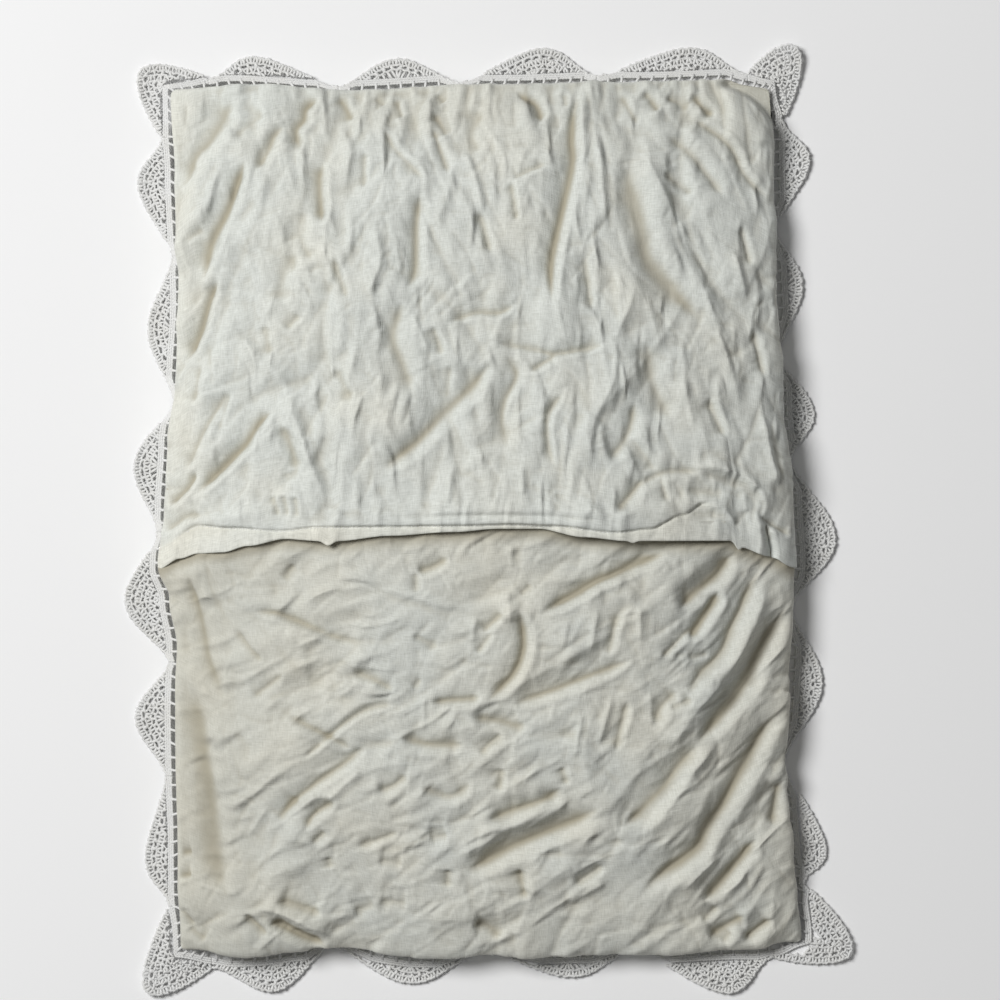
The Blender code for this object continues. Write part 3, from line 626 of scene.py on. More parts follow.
# Small creases of a panel: how many, length, half width, height to half width, scatter.
SOFT_FOLDS = (90, (45.0, 170.0), (2.8, 7.5), (0.18, 0.5), 0.45)
WRINKLES = (200, (18.0, 80.0), (1.3, 2.3), (0.2, 0.55), 0.55)
FINE_WRINKLES = (560, (9.0, 44.0), (0.9, 1.5), (0.26, 0.6), 0.95)

# How deep the deepest trough goes, and the depth over which a hollow's painted shade deepens.
TROUGH_FLOOR = 10.0
HOLLOW_DEPTH = 2.2


def held_up(relief):
    """The relief, with its deepest troughs stopped short of the filling."""
    return np.where(relief < 0.0, TROUGH_FLOOR * np.tanh(relief / TROUGH_FLOOR), relief)


def cloth_relief(x, y, table, way, seed):
    """Height of everything that creases a panel."""
    body = bpy.context.scene.sham_body
    seed = seed + body.crumple_seed
    rng = np.random.default_rng(seed)
    cells = [random_cells(seed + i) for i in range(1, 5)]
    warped_x = x + 5.0 * soft_noise(x, y, 31.0, cells[0])
    warped_y = y + 5.0 * soft_noise(x + 400.0, y, 31.0, cells[0])
    small = 0.16 * facets(warped_x, warped_y * 0.75, 26.0, cells[1])
    small += 0.1 * facets(warped_x, warped_y * 0.8, 11.0, cells[2])
    for kind in (SOFT_FOLDS, WRINKLES, FINE_WRINKLES):
        small += crumple_heights(x, y, way, kind, rng)
    run = way(0.0, 0.0)
    along = x * math.cos(run) + y * math.sin(run)
    across = y * math.cos(run) - x * math.sin(run)
    large = 0.9 * soft_noise(x, y, 62.0, cells[3])
    large += 2.8 * soft_noise(across, 0.3 * along, 27.0, cells[0])
    return crease_heights(x, y, table, seed), body.crumple * small + large


def hollows(relief, reach=5):
    """How far each point lies below the mean of its neighbours, from 0 to 1."""
    mean = relief
    for axis in (0, 1):
        mean = sum(np.roll(mean, step, axis) for step in range(-reach, reach + 1))
        mean = mean / (2.0 * reach + 1.0)
    return 1.0 - np.exp(-np.maximum(mean - relief, 0.0) / HOLLOW_DEPTH)


def painted_crease_shade(main, relief, share):
    """How much shade is painted on the cloth in its main creases and its small hollows."""
    return 0.48 * ramp(main, -2.5, -11.5) + share * hollows(relief)


def make_material(name):
    """A new material with its nodes and links."""
    made = bpy.data.materials.new(name)
    made.use_nodes = True
    return made, made.node_tree.nodes, made.node_tree.links


def add_node(nodes, kind, place, **settings):
    """A shader node with its settings."""
    node = nodes.new(kind)
    node.location = place
    for name, value in settings.items():
        setattr(node, name, value)
    return node


def stretched_noise(nodes, links, source, stretch, scale, detail, place):
    """Noise on a source's coordinates, drawn out along one way."""
    mapping = add_node(nodes, 'ShaderNodeMapping', place)
    mapping.inputs["Scale"].default_value = stretch
    links.new(source, mapping.inputs["Vector"])
    noise = add_node(nodes, 'ShaderNodeTexNoise', (place[0] + 200, place[1]))
    noise.inputs["Scale"].default_value = scale
    noise.inputs["Detail"].default_value = detail
    links.new(mapping.outputs["Vector"], noise.inputs["Vector"])
    return noise.outputs["Fac"]


def add_math(nodes, links, operation, first, second, place):
    """One sum on two numbers or sockets."""
    node = add_node(nodes, 'ShaderNodeMath', place, operation=operation)
    for socket, value in zip(node.inputs, (first, second)):
        if isinstance(value, (int, float)):
            socket.default_value = value
        else:
            links.new(value, socket)
    return node.outputs["Value"]


def add_mix(nodes, links, kind, share, first, second, place):
    """A mix of two colours or sockets."""
    node = add_node(nodes, 'ShaderNodeMix', place, data_type='RGBA', blend_type=kind)
    for name, value in (("Factor", share), ("A", first), ("B", second)):
        socket = next(s for s in node.inputs if s.name == name and s.enabled)
        if isinstance(value, (int, float)):
            socket.default_value = value
        elif isinstance(value, tuple):
            socket.default_value = (*value, 1.0)
        else:
            links.new(value, socket)
    return next(s for s in node.outputs if s.enabled)


def add_bump(nodes, links, height, strength, distance, before, place):
    """A bump on top of the one before, if there is one."""
    node = add_node(nodes, 'ShaderNodeBump', place)
    node.inputs["Strength"].default_value = strength
    node.inputs["Distance"].default_value = distance
    links.new(height, node.inputs["Height"])
    if before is not None:
        links.new(before, node.inputs["Normal"])
    return node.outputs["Normal"]


WAVE_PERIOD = 0.314159        # of the wave texture's bands at a scale of 1


def linen_material(name):
    """Ivory plain-weave linen: slubby threads both ways, fine crumples, and a warm painted shade in
    the hollows.
    """
    settings = bpy.context.scene.sham_linen
    made, nodes, links = make_material(name)
    shader = nodes["Principled BSDF"]
    cloth = add_node(nodes, 'ShaderNodeUVMap', (-1400, 0), uv_map="cloth").outputs["UV"]
    warp = stretched_noise(nodes, links, cloth, (1.0, 0.13, 1.0), 1150.0, 3.0, (-1200, 300))
    weft = stretched_noise(nodes, links, cloth, (0.1, 1.0, 1.0), 1150.0, 3.0, (-1200, 0))
    slub = add_math(nodes, links, 'ADD', warp, weft, (-760, 150))
    slub = add_math(nodes, links, 'SUBTRACT', slub, 0.72, (-600, 150))
    slub = add_math(nodes, links, 'MULTIPLY', slub, 1.8, (-440, 150))
    weaves = []
    for direction, height in (('X', -300), ('Y', -520)):
        wave = add_node(nodes, 'ShaderNodeTexWave', (-1000, height), bands_direction=direction)
        wave.inputs["Scale"].default_value = WAVE_PERIOD / settings.thread_pitch
        wave.inputs["Distortion"].default_value = 1.2
        wave.inputs["Detail"].default_value = 1.0
        wave.inputs["Detail Scale"].default_value = 0.2
        links.new(cloth, wave.inputs["Vector"])
        weaves.append(wave.outputs["Fac"])
    weave = add_math(nodes, links, 'MULTIPLY', weaves[0], weaves[1], (-760, -400))
    fine = add_node(nodes, 'ShaderNodeTexNoise', (-1000, -760), noise_type='RIDGED_MULTIFRACTAL')
    fine.inputs["Scale"].default_value = 62.0
    fine.inputs["Detail"].default_value = 4.0
    fine.inputs["Roughness"].default_value = 0.68
    fine.inputs["Distortion"].default_value = 0.5
    creases = add_node(nodes, 'ShaderNodeUVMap', (-1200, -760), uv_map="creases").outputs["UV"]
    links.new(creases, fine.inputs["Vector"])
    normal = add_bump(nodes, links, fine.outputs["Fac"], 1.0, 0.0055, None, (-560, -700))
    normal = add_bump(nodes, links, slub, 0.7, 0.0002, normal, (-360, -600))
    normal = add_bump(nodes, links, weave, 0.2, 0.00015, normal, (-160, -500))
    links.new(normal, shader.inputs["Normal"])
    patches = stretched_noise(nodes, links, cloth, (1.0, 1.0, 1.0), 13.0, 3.0, (-1200, 620))
    cream = add_node(nodes, 'ShaderNodeAttribute', (-1000, 900), attribute_name="cream")
    painted_shade = add_node(nodes, 'ShaderNodeAttribute', (-1000, 1080), attribute_name="painted_shade")
    spread = add_math(nodes, links, 'SUBTRACT', patches, 0.46, (-760, 620))
    spread = add_math(nodes, links, 'MULTIPLY', spread, 1.6, (-600, 620))
    spread = add_math(nodes, links, 'ADD', spread, cream.outputs["Fac"], (-440, 700))
    ivory, warm = tuple(settings.ivory), tuple(settings.cream)
    colour = add_mix(nodes, links, 'MIX', spread, ivory, warm, (-260, 620))
    shade = add_mix(nodes, links, 'MIX', slub, (0.86, 0.86, 0.845), (1.12, 1.12, 1.12), (-260, 360))
    colour = add_mix(nodes, links, 'MULTIPLY', 1.0, colour, shade, (-80, 500))
    # Painted shade: creases, the lip's shadow and the ear's shadow are mixed towards a dark warm
    # colour.
    colour = add_mix(nodes, links, 'MIX', painted_shade.outputs["Fac"], colour, tuple(settings.painted_shade),
                     (100, 600))
    links.new(colour, shader.inputs["Base Color"])
    shader.inputs["Roughness"].default_value = 0.88
    shader.inputs["Specular IOR Level"].default_value = 0.25
    shader.inputs["Sheen Weight"].default_value = 0.12
    shader.inputs["Sheen Roughness"].default_value = 0.5
    return made


def cotton_material(name):
    """White mercerised crochet cotton with fine plies and a soft sheen."""
    settings = bpy.context.scene.sham_crochet
    made, nodes, links = make_material(name)
    shader = nodes["Principled BSDF"]
    place = add_node(nodes, 'ShaderNodeTexCoord', (-1200, 0)).outputs["Object"]
    ply = add_node(nodes, 'ShaderNodeTexWave', (-900, -200), bands_direction='DIAGONAL')
    ply.inputs["Scale"].default_value = 420.0
    ply.inputs["Distortion"].default_value = 3.0
    ply.inputs["Detail"].default_value = 2.0
    links.new(place, ply.inputs["Vector"])
    fuzz = stretched_noise(nodes, links, place, (1.0, 1.0, 1.0), 1600.0, 2.0, (-1000, 100))
    patches = stretched_noise(nodes, links, place, (1.0, 1.0, 1.0), 60.0, 2.0, (-1000, 400))
    normal = add_bump(nodes, links, ply.outputs["Fac"], 0.5, 0.0002, None, (-500, -200))
    normal = add_bump(nodes, links, fuzz, 0.35, 0.0001, normal, (-300, -100))
    links.new(normal, shader.inputs["Normal"])
    pale = tuple(settings.cotton)
    wear_and_shade = (pale[0] * 0.93, pale[1] * 0.915, pale[2] * 0.875)
    links.new(add_mix(nodes, links, 'MIX', patches, wear_and_shade, pale, (-200, 300)),
              shader.inputs["Base Color"])
    shader.inputs["Roughness"].default_value = 0.58
    shader.inputs["Specular IOR Level"].default_value = 0.4
    shader.inputs["Sheen Weight"].default_value = 0.25
    shader.inputs["Sheen Roughness"].default_value = 0.4
    return made


def shared_material(name, maker):
    """The material of a name, made the first time."""
    return bpy.data.materials.get(name) or maker(name)


def to_frame(points):
    """Points in the part's own frame, in metres, from the drawing's millimetres."""
    return (points + DRAWING_SHIFT) * MM


def link_object(name, mesh_data, finish):
    """The mesh as an object of the scene, with its material."""
    made = bpy.data.objects.new(name, mesh_data)
    made.data.materials.append(finish)
    bpy.context.scene.collection.objects.link(made)
    return made


def cloth_mesh(name, points, flat, attributes, run=0.0):
    """A mesh of a grid of points, with the cloth's own flat coordinates and its attributes.

    A second map lies square to the run of the creases, and is drawn out along it."""
    rows, columns = points.shape[:2]
    working = bmesh.new()
    bmesh.ops.create_grid(working, x_segments=columns - 1, y_segments=rows - 1, size=0.5)
    made = bpy.data.meshes.new(name)
    working.to_mesh(made)
    working.free()
    start = np.zeros(rows * columns * 3)
    made.vertices.foreach_get("co", start)
    start = start.reshape(-1, 3) + 0.5
    column = np.rint(start[:, 0] * (columns - 1)).astype(int)
    row = np.rint(start[:, 1] * (rows - 1)).astype(int)
    made.vertices.foreach_set("co", to_frame(points[row, column]).ravel())
    corner = np.zeros(len(made.loops), int)
    made.loops.foreach_get("vertex_index", corner)
    across = flat[..., 1] * math.cos(run) - flat[..., 0] * math.sin(run)
    along = flat[..., 0] * math.cos(run) + flat[..., 1] * math.sin(run)
    creased = np.stack([across, 0.4 * along], axis=-1)
    for layer_name, layout in (("cloth", flat), ("creases", creased)):
        layer = made.uv_layers.new(name=layer_name)
        layer.data.foreach_set("uv", layout[row, column][corner].ravel() * MM)
    for attribute, values in attributes.items():
        store = made.attributes.new(attribute, 'FLOAT', 'POINT')
        store.data.foreach_set("value", values[row, column].astype(np.float32))
    made.shade_smooth()
    made.update()
    return made


def linen_object(mesh):
    """A piece of the linen."""
    return link_object(mesh.name, mesh, shared_material("ivory_linen_look", linen_material))


def flat_coordinates(points):
    """Distance along the cloth from the first column and the first row."""
    over = np.linalg.norm(np.diff(points, axis=1), axis=2)
    over = np.concatenate([np.zeros((len(points), 1)), np.cumsum(over, axis=1)], axis=1)
    over = over - over[:, over.shape[1] // 2][:, None] + FLAT_HALF_WIDTH
    up = np.linalg.norm(np.diff(points, axis=0), axis=2)
    up = np.concatenate([np.zeros((1, points.shape[1])), np.cumsum(up, axis=0)], axis=0)
    return np.stack([over, up], axis=-1)


def even_values(spacing, upward, top=1.0, count=801):
    """Values of u, or of v where upward, from -1 to a top, evenly spaced on the pocket's middle."""
    values, middle = np.linspace(-1.0, top, count), np.zeros(count)
    line = pocket(middle, values) if upward else pocket(values, middle)
    return mix(-1.0, top, even_places(line, spacing)[0])


def panel_columns():
    """Values of u for a panel's columns."""
    return even_values(bpy.context.scene.sham_body.cell / MM, False, count=1601)


def side_fade(u, v, distance):
    """0 at the seam, and 1 at a distance in from it and further."""
    inward = np.minimum((1.0 - np.abs(u)) * HALF_WIDTH, (1.0 - np.abs(v)) * HALF_LENGTH)
    return smooth(inward / distance)


def lip_height(x):
    """Height of the lip on the back, with the small tips where the hem has turned."""
    tips = (depth * hump(x, middle, half) for middle, half, depth in LIP_TIPS)
    return read(LIP, x) - sum(tips)


def roll_height(x, y):
    """Height of the roll over the hem's stitching, with its steep front at the groove."""
    roll = bpy.context.scene.sham_body.roll / MM
    groove, crest = read(GROOVE, x), read(CREST, x)
    size = roll * ramp(x, -244.0, -199.0) * (1.0 - 0.55 * ramp(x, 95.0, 155.0))
    up = (y - groove) / np.maximum(crest - groove, 4.0)
    front = np.sqrt(np.clip(np.sin(0.5 * np.pi * np.clip(up, 0.0, 1.0)), 0.0, 1.0))
    behind = hump(np.maximum(y - crest, 0.0), 0.0, 5.5)
    cut = -1.3 * hump(y - groove, -0.8, 1.1) * ramp(x, -250.0, -230.0)
    return size * front * behind * ramp(x, 196.0, 156.0) + cut * ramp(x, 172.0, 162.0)


def roll_lean(x, y):
    """How far the roll's front leans out over the groove, from 0 to 1."""
    groove, crest = read(GROOVE, x), read(CREST, x)
    up = (y - groove) / np.maximum(crest - groove, 4.0)
    lean = hump(up, 0.28, 0.22) * ramp(x, -240.0, -200.0)
    return lean * (1.0 - ramp(x, 120.0, 150.0))


def flat_ear(x, y):
    """Shares of each point in the flat ear at the head's right and in the plump corner inside it."""
    over, up = np.maximum(x - EAR_CENTRE[0], 0.0), np.maximum(y - EAR_CENTRE[1], 0.0)
    away = np.hypot(over, up)
    turned = 2.0 * over * up / np.maximum(away, 0.001) ** 2
    plump = hump(away - EAR_REACH, -9.0, 15.0)
    return ramp(away, EAR_REACH, EAR_REACH + 5.0) * smooth(2.0 * turned), plump * turned


def flatten_ear(points, share, over_seam):
    """The points with those of the ear brought down to a height over the seam's."""
    floor = bpy.context.scene.sham_body.seam_height / MM + over_seam
    ear, plump = flat_ear(points[..., 0], points[..., 1])
    points[..., 2] += EAR_PLUMPNESS * plump * share * (1.0 - ear)
    points[..., 2] = mix(points[..., 2], np.minimum(points[..., 2], floor), ear * share)
    return points


# Size of the front's mesh cells, its underside's rings, in from the seam, and how far in the
# underside comes down to the table.
FRONT_CELL = 3.2
UNDERSIDE_RINGS = (0.8, 1.8, 3.0, 4.5, 6.3, 8.5, 11.0, 14.0, 18.0, 24.0)
UNDERSIDE_REACH = 17.0


def close_underside(mesh):
    """Rings in from the seam, puckered and rounded down to the table, and a flat middle."""
    working = bmesh.new()
    working.from_mesh(mesh)
    uv = working.loops.layers.uv["cloth"]
    rim = [edge for edge in working.edges if edge.is_boundary]
    seam = {vertex: vertex.co.copy() for edge in rim for vertex in edge.verts}
    cells = random_cells(bpy.context.scene.sham_body.crumple_seed + 31)
    centre = Vector(to_frame(np.array([0.0, 0.0, 0.0])))
    for inset in UNDERSIDE_RINGS:
        grown = bmesh.ops.extrude_edge_only(working, edges=rim)["geom"]
        rim = [item for item in grown if isinstance(item, bmesh.types.BMEdge)]
        share = min(1.0, inset / UNDERSIDE_REACH)
        ring = {}
        for vertex in {vertex for edge in rim for vertex in edge.verts}:
            above = next(edge.other_vert(vertex) for edge in vertex.link_edges
                         if edge.other_vert(vertex) in seam)
            start = seam[above]
            away = start - centre
            pucker = soft_noise(np.array(start.x / MM), np.array(start.y / MM), 9.0, cells)
            wave = 0.9 * MM * float(pucker) * math.sin(math.pi * share)
            depth = math.sqrt(max(0.0, 1.0 - share))
            vertex.co.x = start.x - away.x * inset / HALF_WIDTH
            vertex.co.y = start.y - away.y * inset / HALF_LENGTH
            vertex.co.z = max(0.0, start.z * depth ** 1.4 + wave) if share < 1.0 else 0.0
            ring[vertex] = start
        seam = ring
    bmesh.ops.contextual_create(working, geom=rim)
    bmesh.ops.recalc_face_normals(working, faces=working.faces)
    for face in working.faces:
        for loop in face.loops:
            if loop[uv].uv.length == 0.0:
                loop[uv].uv = loop.vert.co.xy
    working.to_mesh(mesh)
    working.free()
    mesh.shade_smooth()


class SHAM_OT_filled_front(bpy.types.Operator):
    """Build the front panel with the filling that it holds, flat where it lies"""
    bl_idname = "sham.filled_front"
    bl_label = "Filled Front"

    def execute(self, context):
        u, v = np.meshgrid(even_values(FRONT_CELL, False), even_values(FRONT_CELL, True))
        sunk = -FILLING_SINK * side_fade(u, v, 15.0)
        points = pocket(u, v) + outward(u, v) * sunk[..., None]
        points = flatten_ear(points, side_fade(u, v, 2.0), EAR_FRONT)
        zero = np.zeros(u.shape)
        mesh = cloth_mesh("filled_front", points, flat_coordinates(points),
                          {"cream": zero + 0.15, "painted_shade": zero})
        close_underside(mesh)
        front = linen_object(mesh)
        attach(front, "root")
        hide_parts("filled_front_panel")
        return {'FINISHED'}


class SHAM_OT_lower_panel(bpy.types.Operator):
    """Build the lower back panel, which runs on under the lip of the upper one"""
    bl_idname = "sham.lower_panel"
    bl_label = "Lower Back Panel"

    def execute(self, context):
        body = context.scene.sham_body
        u = panel_columns()
        top = float(v_at(0.0, TONGUE_START))
        shown = even_values(body.cell / MM, True, top)
        hidden = np.linspace(shown[-1], float(v_at(0.0, TONGUE_END)), 12)[1:]
        u, v = np.meshgrid(u, np.concatenate([shown, hidden]))
        base, normal = pocket(u, v), outward(u, v)
        x, y = base[..., 0], base[..., 1]
        main, small = cloth_relief(x, y, LOWER_CREASES, lower_way, 100)
        small = 0.85 * small + crease_heights(x, y, LOWER_SAG, 3)
        under = ramp(y - read(LIP, x), 3.0, 17.0)
        relief = held_up(main * side_fade(u, v, 12.0) + small * side_fade(u, v, 9.0))
        lift = PANEL_LIFT + relief * (1.0 - under) - TONGUE_SINK * under * side_fade(u, v, 20.0)
        points = base + normal * lift[..., None]
        # Painted shadow under the lip, painted shade in the creases and over the panel, deeper
        # towards the sagging left, and warmer by both sides.
        painted_lip_shadow = 0.95 * hump(np.maximum(read(LIP, x) - y, 0.0), 0.0, 10.0)
        wear_and_shade = 0.13 + 0.25 * ramp(x, -90.0, -230.0)
        creased = wear_and_shade + painted_crease_shade(main, relief, 0.6)
        painted_shade = np.maximum(creased * (1.0 - under), painted_lip_shadow)
        cream = 0.2 + 0.15 * ramp(x, -190.0, -240.0) + 0.2 * ramp(x, 190.0, 230.0)
        mesh = cloth_mesh("lower_panel", points, flat_coordinates(base),
                          {"painted_shade": painted_shade, "cream": cream}, lower_way(60.0, -150.0))
        panel = linen_object(mesh)
        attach(panel, "root")
        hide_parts("lower_back_panel")
        return {'FINISHED'}


# Rows of the hem's folded edge, from its inner side round to the lip: in from the lip, in
# millimetres, and height as a share of the hem's thickness.
HEM_NOSE = ((15.0, -1.0), (11.0, -1.0), (7.0, -1.0), (3.5, -1.0), (1.4, -1.0), (0.4, -0.88),
            (-0.1, -0.66), (-0.3, -0.42), (-0.1, -0.2), (0.4, -0.05), (1.1, 0.0))


# Row spacing near the lip, and how far up from it the rows stay that close.
HEM_CELL = 1.15
HEM_REACH = 27.0


def upper_grid(cell):
    """u and v over the upper panel, from the hem's inner side round the lip to the head seam."""
    u = panel_columns()
    level = np.full(u.shape, -12.0)
    for _ in range(2):
        level = lip_height(pocket(u, v_at(u, level))[:, 0])
    start = v_at(u, level + 1.8)
    middle = len(u) // 2
    line = pocket(np.full(1601, u[middle]), np.linspace(start[middle], 1.0, 1601))
    fine, length = even_places(line, HEM_CELL)
    coarse, _ = even_places(line, cell)
    change = HEM_REACH / (length - 20.0)
    places = np.concatenate([fine[fine < change], coarse[coarse >= change]])
    v = start[None, :] + (1.0 - start[None, :]) * places[:, None]
    folded = v_at(u[None, :], level[None, :] + np.array(HEM_NOSE)[:, :1])
    v = np.concatenate([folded, v])
    return np.broadcast_to(u, v.shape), v


def lip_opening(x, from_lip):
    """How far the hem stands up along the lip, and the small dimples beside its stitching."""
    body = bpy.context.scene.sham_body
    cells = random_cells(body.crumple_seed + 41)
    opened = body.lip_lift / MM * ramp(x, -240.0, -180.0) * ramp(x, 226.0, 176.0)
    wavy = 1.0 + 0.28 * soft_noise(x, np.zeros(x.shape), 38.0, cells)
    dimples = 0.4 * soft_noise(x, np.zeros(x.shape) + 90.0, 4.5, cells)
    dimples = dimples * ramp(from_lip, 2.0, 6.0) * ramp(from_lip, 24.0, 18.0)
    return opened * wavy * hump(from_lip, 0.0, 26.0), dimples


class SHAM_OT_upper_panel(bpy.types.Operator):
    """Build the upper back panel, whose folded hem lies over the lower panel"""
    bl_idname = "sham.upper_panel"
    bl_label = "Upper Back Panel"

    def execute(self, context):
        body = context.scene.sham_body
        u, v = upper_grid(body.cell / MM)
        nose = np.array(HEM_NOSE)
        base, normal = pocket(u, v), outward(u, v)
        x, y = base[..., 0], base[..., 1]
        count = len(nose)
        from_lip = y - lip_height(x)
        from_lip[:count] = nose[:, :1]
        place_y = lip_height(x) + from_lip
        main, small = cloth_relief(x, place_y, UPPER_CREASES, upper_way, 200)
        rng = np.random.default_rng(body.crumple_seed + 5)
        main = main + seam_gathers(x, place_y, rng)
        hem = ramp(from_lip, 22.0, 8.0)
        relief = main * side_fade(u, v, 8.0) + small * side_fade(u, v, 8.0) * (1.0 - 0.6 * hem)
        relief = held_up(relief)
        opened, dimples = lip_opening(x, from_lip)
        lift = mix(DOUBLED_LIFT, PANEL_LIFT, ramp(y - TONGUE_END, -10.0, 12.0))
        lift = mix(SEAM_LIFT, lift, side_fade(u, v, 14.0))
        lift = lift + opened
        lift = lift + (roll_height(x, place_y) + dimples) * side_fade(u, v, 8.0) + relief
        # The folded edge hangs from the first row above it, and the roll leans out over the groove.
        lift[:count] = lift[count] + nose[:, 1:] * body.hem / MM
        points = base + normal * lift[..., None]
        points[count:, :, 1] -= 1.5 * roll_lean(x, place_y)[count:]
        points = flatten_ear(points, side_fade(u, v, 2.0), EAR_BACK)
        # Painted shade by the head seam and in the creases, and a painted shadow on the ear; warmer
        # on the hem and by the left side.
        wear_and_shade = 0.05 + 0.14 * ramp(y, 270.0, 330.0) * ramp(x, -190.0, -130.0)
        creased = wear_and_shade + painted_crease_shade(main, relief, 0.65)
        painted_shade = creased * (1.0 - hem)
        # Painted shadow on the flat ear, where the plump corner shades it.
        painted_shade = np.maximum(painted_shade, 0.55 * flat_ear(base[..., 0], base[..., 1])[0])
        hemmed = ramp(place_y - read(GROOVE, x), 3.0, -2.0)
        cream = 0.4 * hemmed * ramp(x, 190.0, 120.0) + 0.25 * ramp(x, -205.0, -240.0)
        mesh = cloth_mesh("upper_panel", points, flat_coordinates(base),
                          {"painted_shade": painted_shade, "cream": cream}, upper_way(0.0, 150.0))
        panel = linen_object(mesh)
        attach(panel, "root")
        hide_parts("upper_back_panel")
        return {'FINISHED'}


ABOVE_ALL = 200.0             # a height over the whole sham, to look down from


class SHAM_OT_hem_stitches(bpy.types.Operator):
    """Sew the line of stitches that holds the folded hem"""
    bl_idname = "sham.hem_stitches"
    bl_label = "Hem Stitches"

    def execute(self, context):
        panel = bpy.data.objects["upper_panel"]
        curve = new_thread_curve("hem_stitches", STITCH_RADIUS)
        place, end = HEM_STITCHES
        while place < end:
            points = []
            for share, height in ((0.0, -0.25), (0.3, 0.1), (0.7, 0.1), (1.0, -0.25)):
                x = place + STITCH_LENGTH * share
                y = float(read(GROOVE, np.array(x))) - STITCH_DROP
                start = Vector(to_frame(np.array([x, y, ABOVE_ALL])))
                hit, spot, normal, _ = panel.ray_cast(start, Vector((0.0, 0.0, -1.0)))
                if not hit:
                    raise RuntimeError("the hem stitches miss the upper panel")
                points.append(spot + normal * height * MM)
            add_thread(curve, np.array(points) / MM - DRAWING_SHIFT, (0.7, 1.0, 1.0, 0.7))
            place += STITCH_PITCH
        stitches = finish_threads(curve, shared_material("hem_thread_look", cotton_material))
        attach(stitches, "root")
        return {'FINISHED'}


def new_thread_curve(name, radius):
    """A curve whose lines all become thread of a radius in millimetres."""
    curve = bpy.data.curves.new(name + "_lines", 'CURVE')
    curve.dimensions = '3D'
    curve.bevel_depth = radius * MM
    curve.bevel_resolution = 1
    curve.use_fill_caps = True
    return curve


def add_thread(curve, points, radii):
    """One length of thread through the points, with its thickness at each."""
    line = curve.splines.new('POLY')
    line.points.add(len(points) - 1)
    place = np.concatenate([to_frame(points), np.ones((len(points), 1))], axis=1)
    line.points.foreach_set("co", place.ravel())
    line.points.foreach_set("radius", np.broadcast_to(radii, len(points)).astype(float))


def finish_threads(curve, finish):
    """The thread as one mesh."""
    name = curve.name.replace("_lines", "")
    holder = bpy.data.objects.new(curve.name, curve)
    bpy.context.scene.collection.objects.link(holder)
    bpy.context.view_layer.update()
    ready = holder.evaluated_get(bpy.context.evaluated_depsgraph_get())
    mesh = bpy.data.meshes.new_from_object(ready)
    mesh.name = name
    mesh.materials.clear()
    bpy.data.objects.remove(holder)
    working = bmesh.new()
    working.from_mesh(mesh)
    bmesh.ops.remove_doubles(working, verts=working.verts, dist=0.002 * MM)
    working.to_mesh(mesh)
    working.free()
    mesh.shade_smooth()
    return link_object(name, mesh, finish)


def share_along(table, place, backwards):
    """Share of a side's length at a place, counted from its table's end where backwards."""
    share = (place - table[0][0]) / (table[-1][0] - table[0][0])
    return 1.0 - share if backwards else share


def valley_turn(index):
    """Place round the seam of the valley before a scallop.

    The first valley lies on the left, below the head's corner; 1 to 5 lie on the head, 6 to 12 on
    the right, 13 to 17 on the foot, and the rest on the left."""
    x, y = SCALLOPS[index % len(SCALLOPS)][:2]
    if index <= 0:
        return -share_along(LEFT_SIDE, y, True)
    if index <= 5:
        return share_along(TOP_SIDE, x, False)
    if index <= 12:
        return 1.0 + share_along(RIGHT_SIDE, y, True)
    if index <= 17:
        return 2.0 + share_along(BOTTOM_SIDE, x, True)
    if index < len(SCALLOPS):
        return 3.0 + share_along(LEFT_SIDE, y, False)
    return 4.0 - share_along(LEFT_SIDE, y, True)


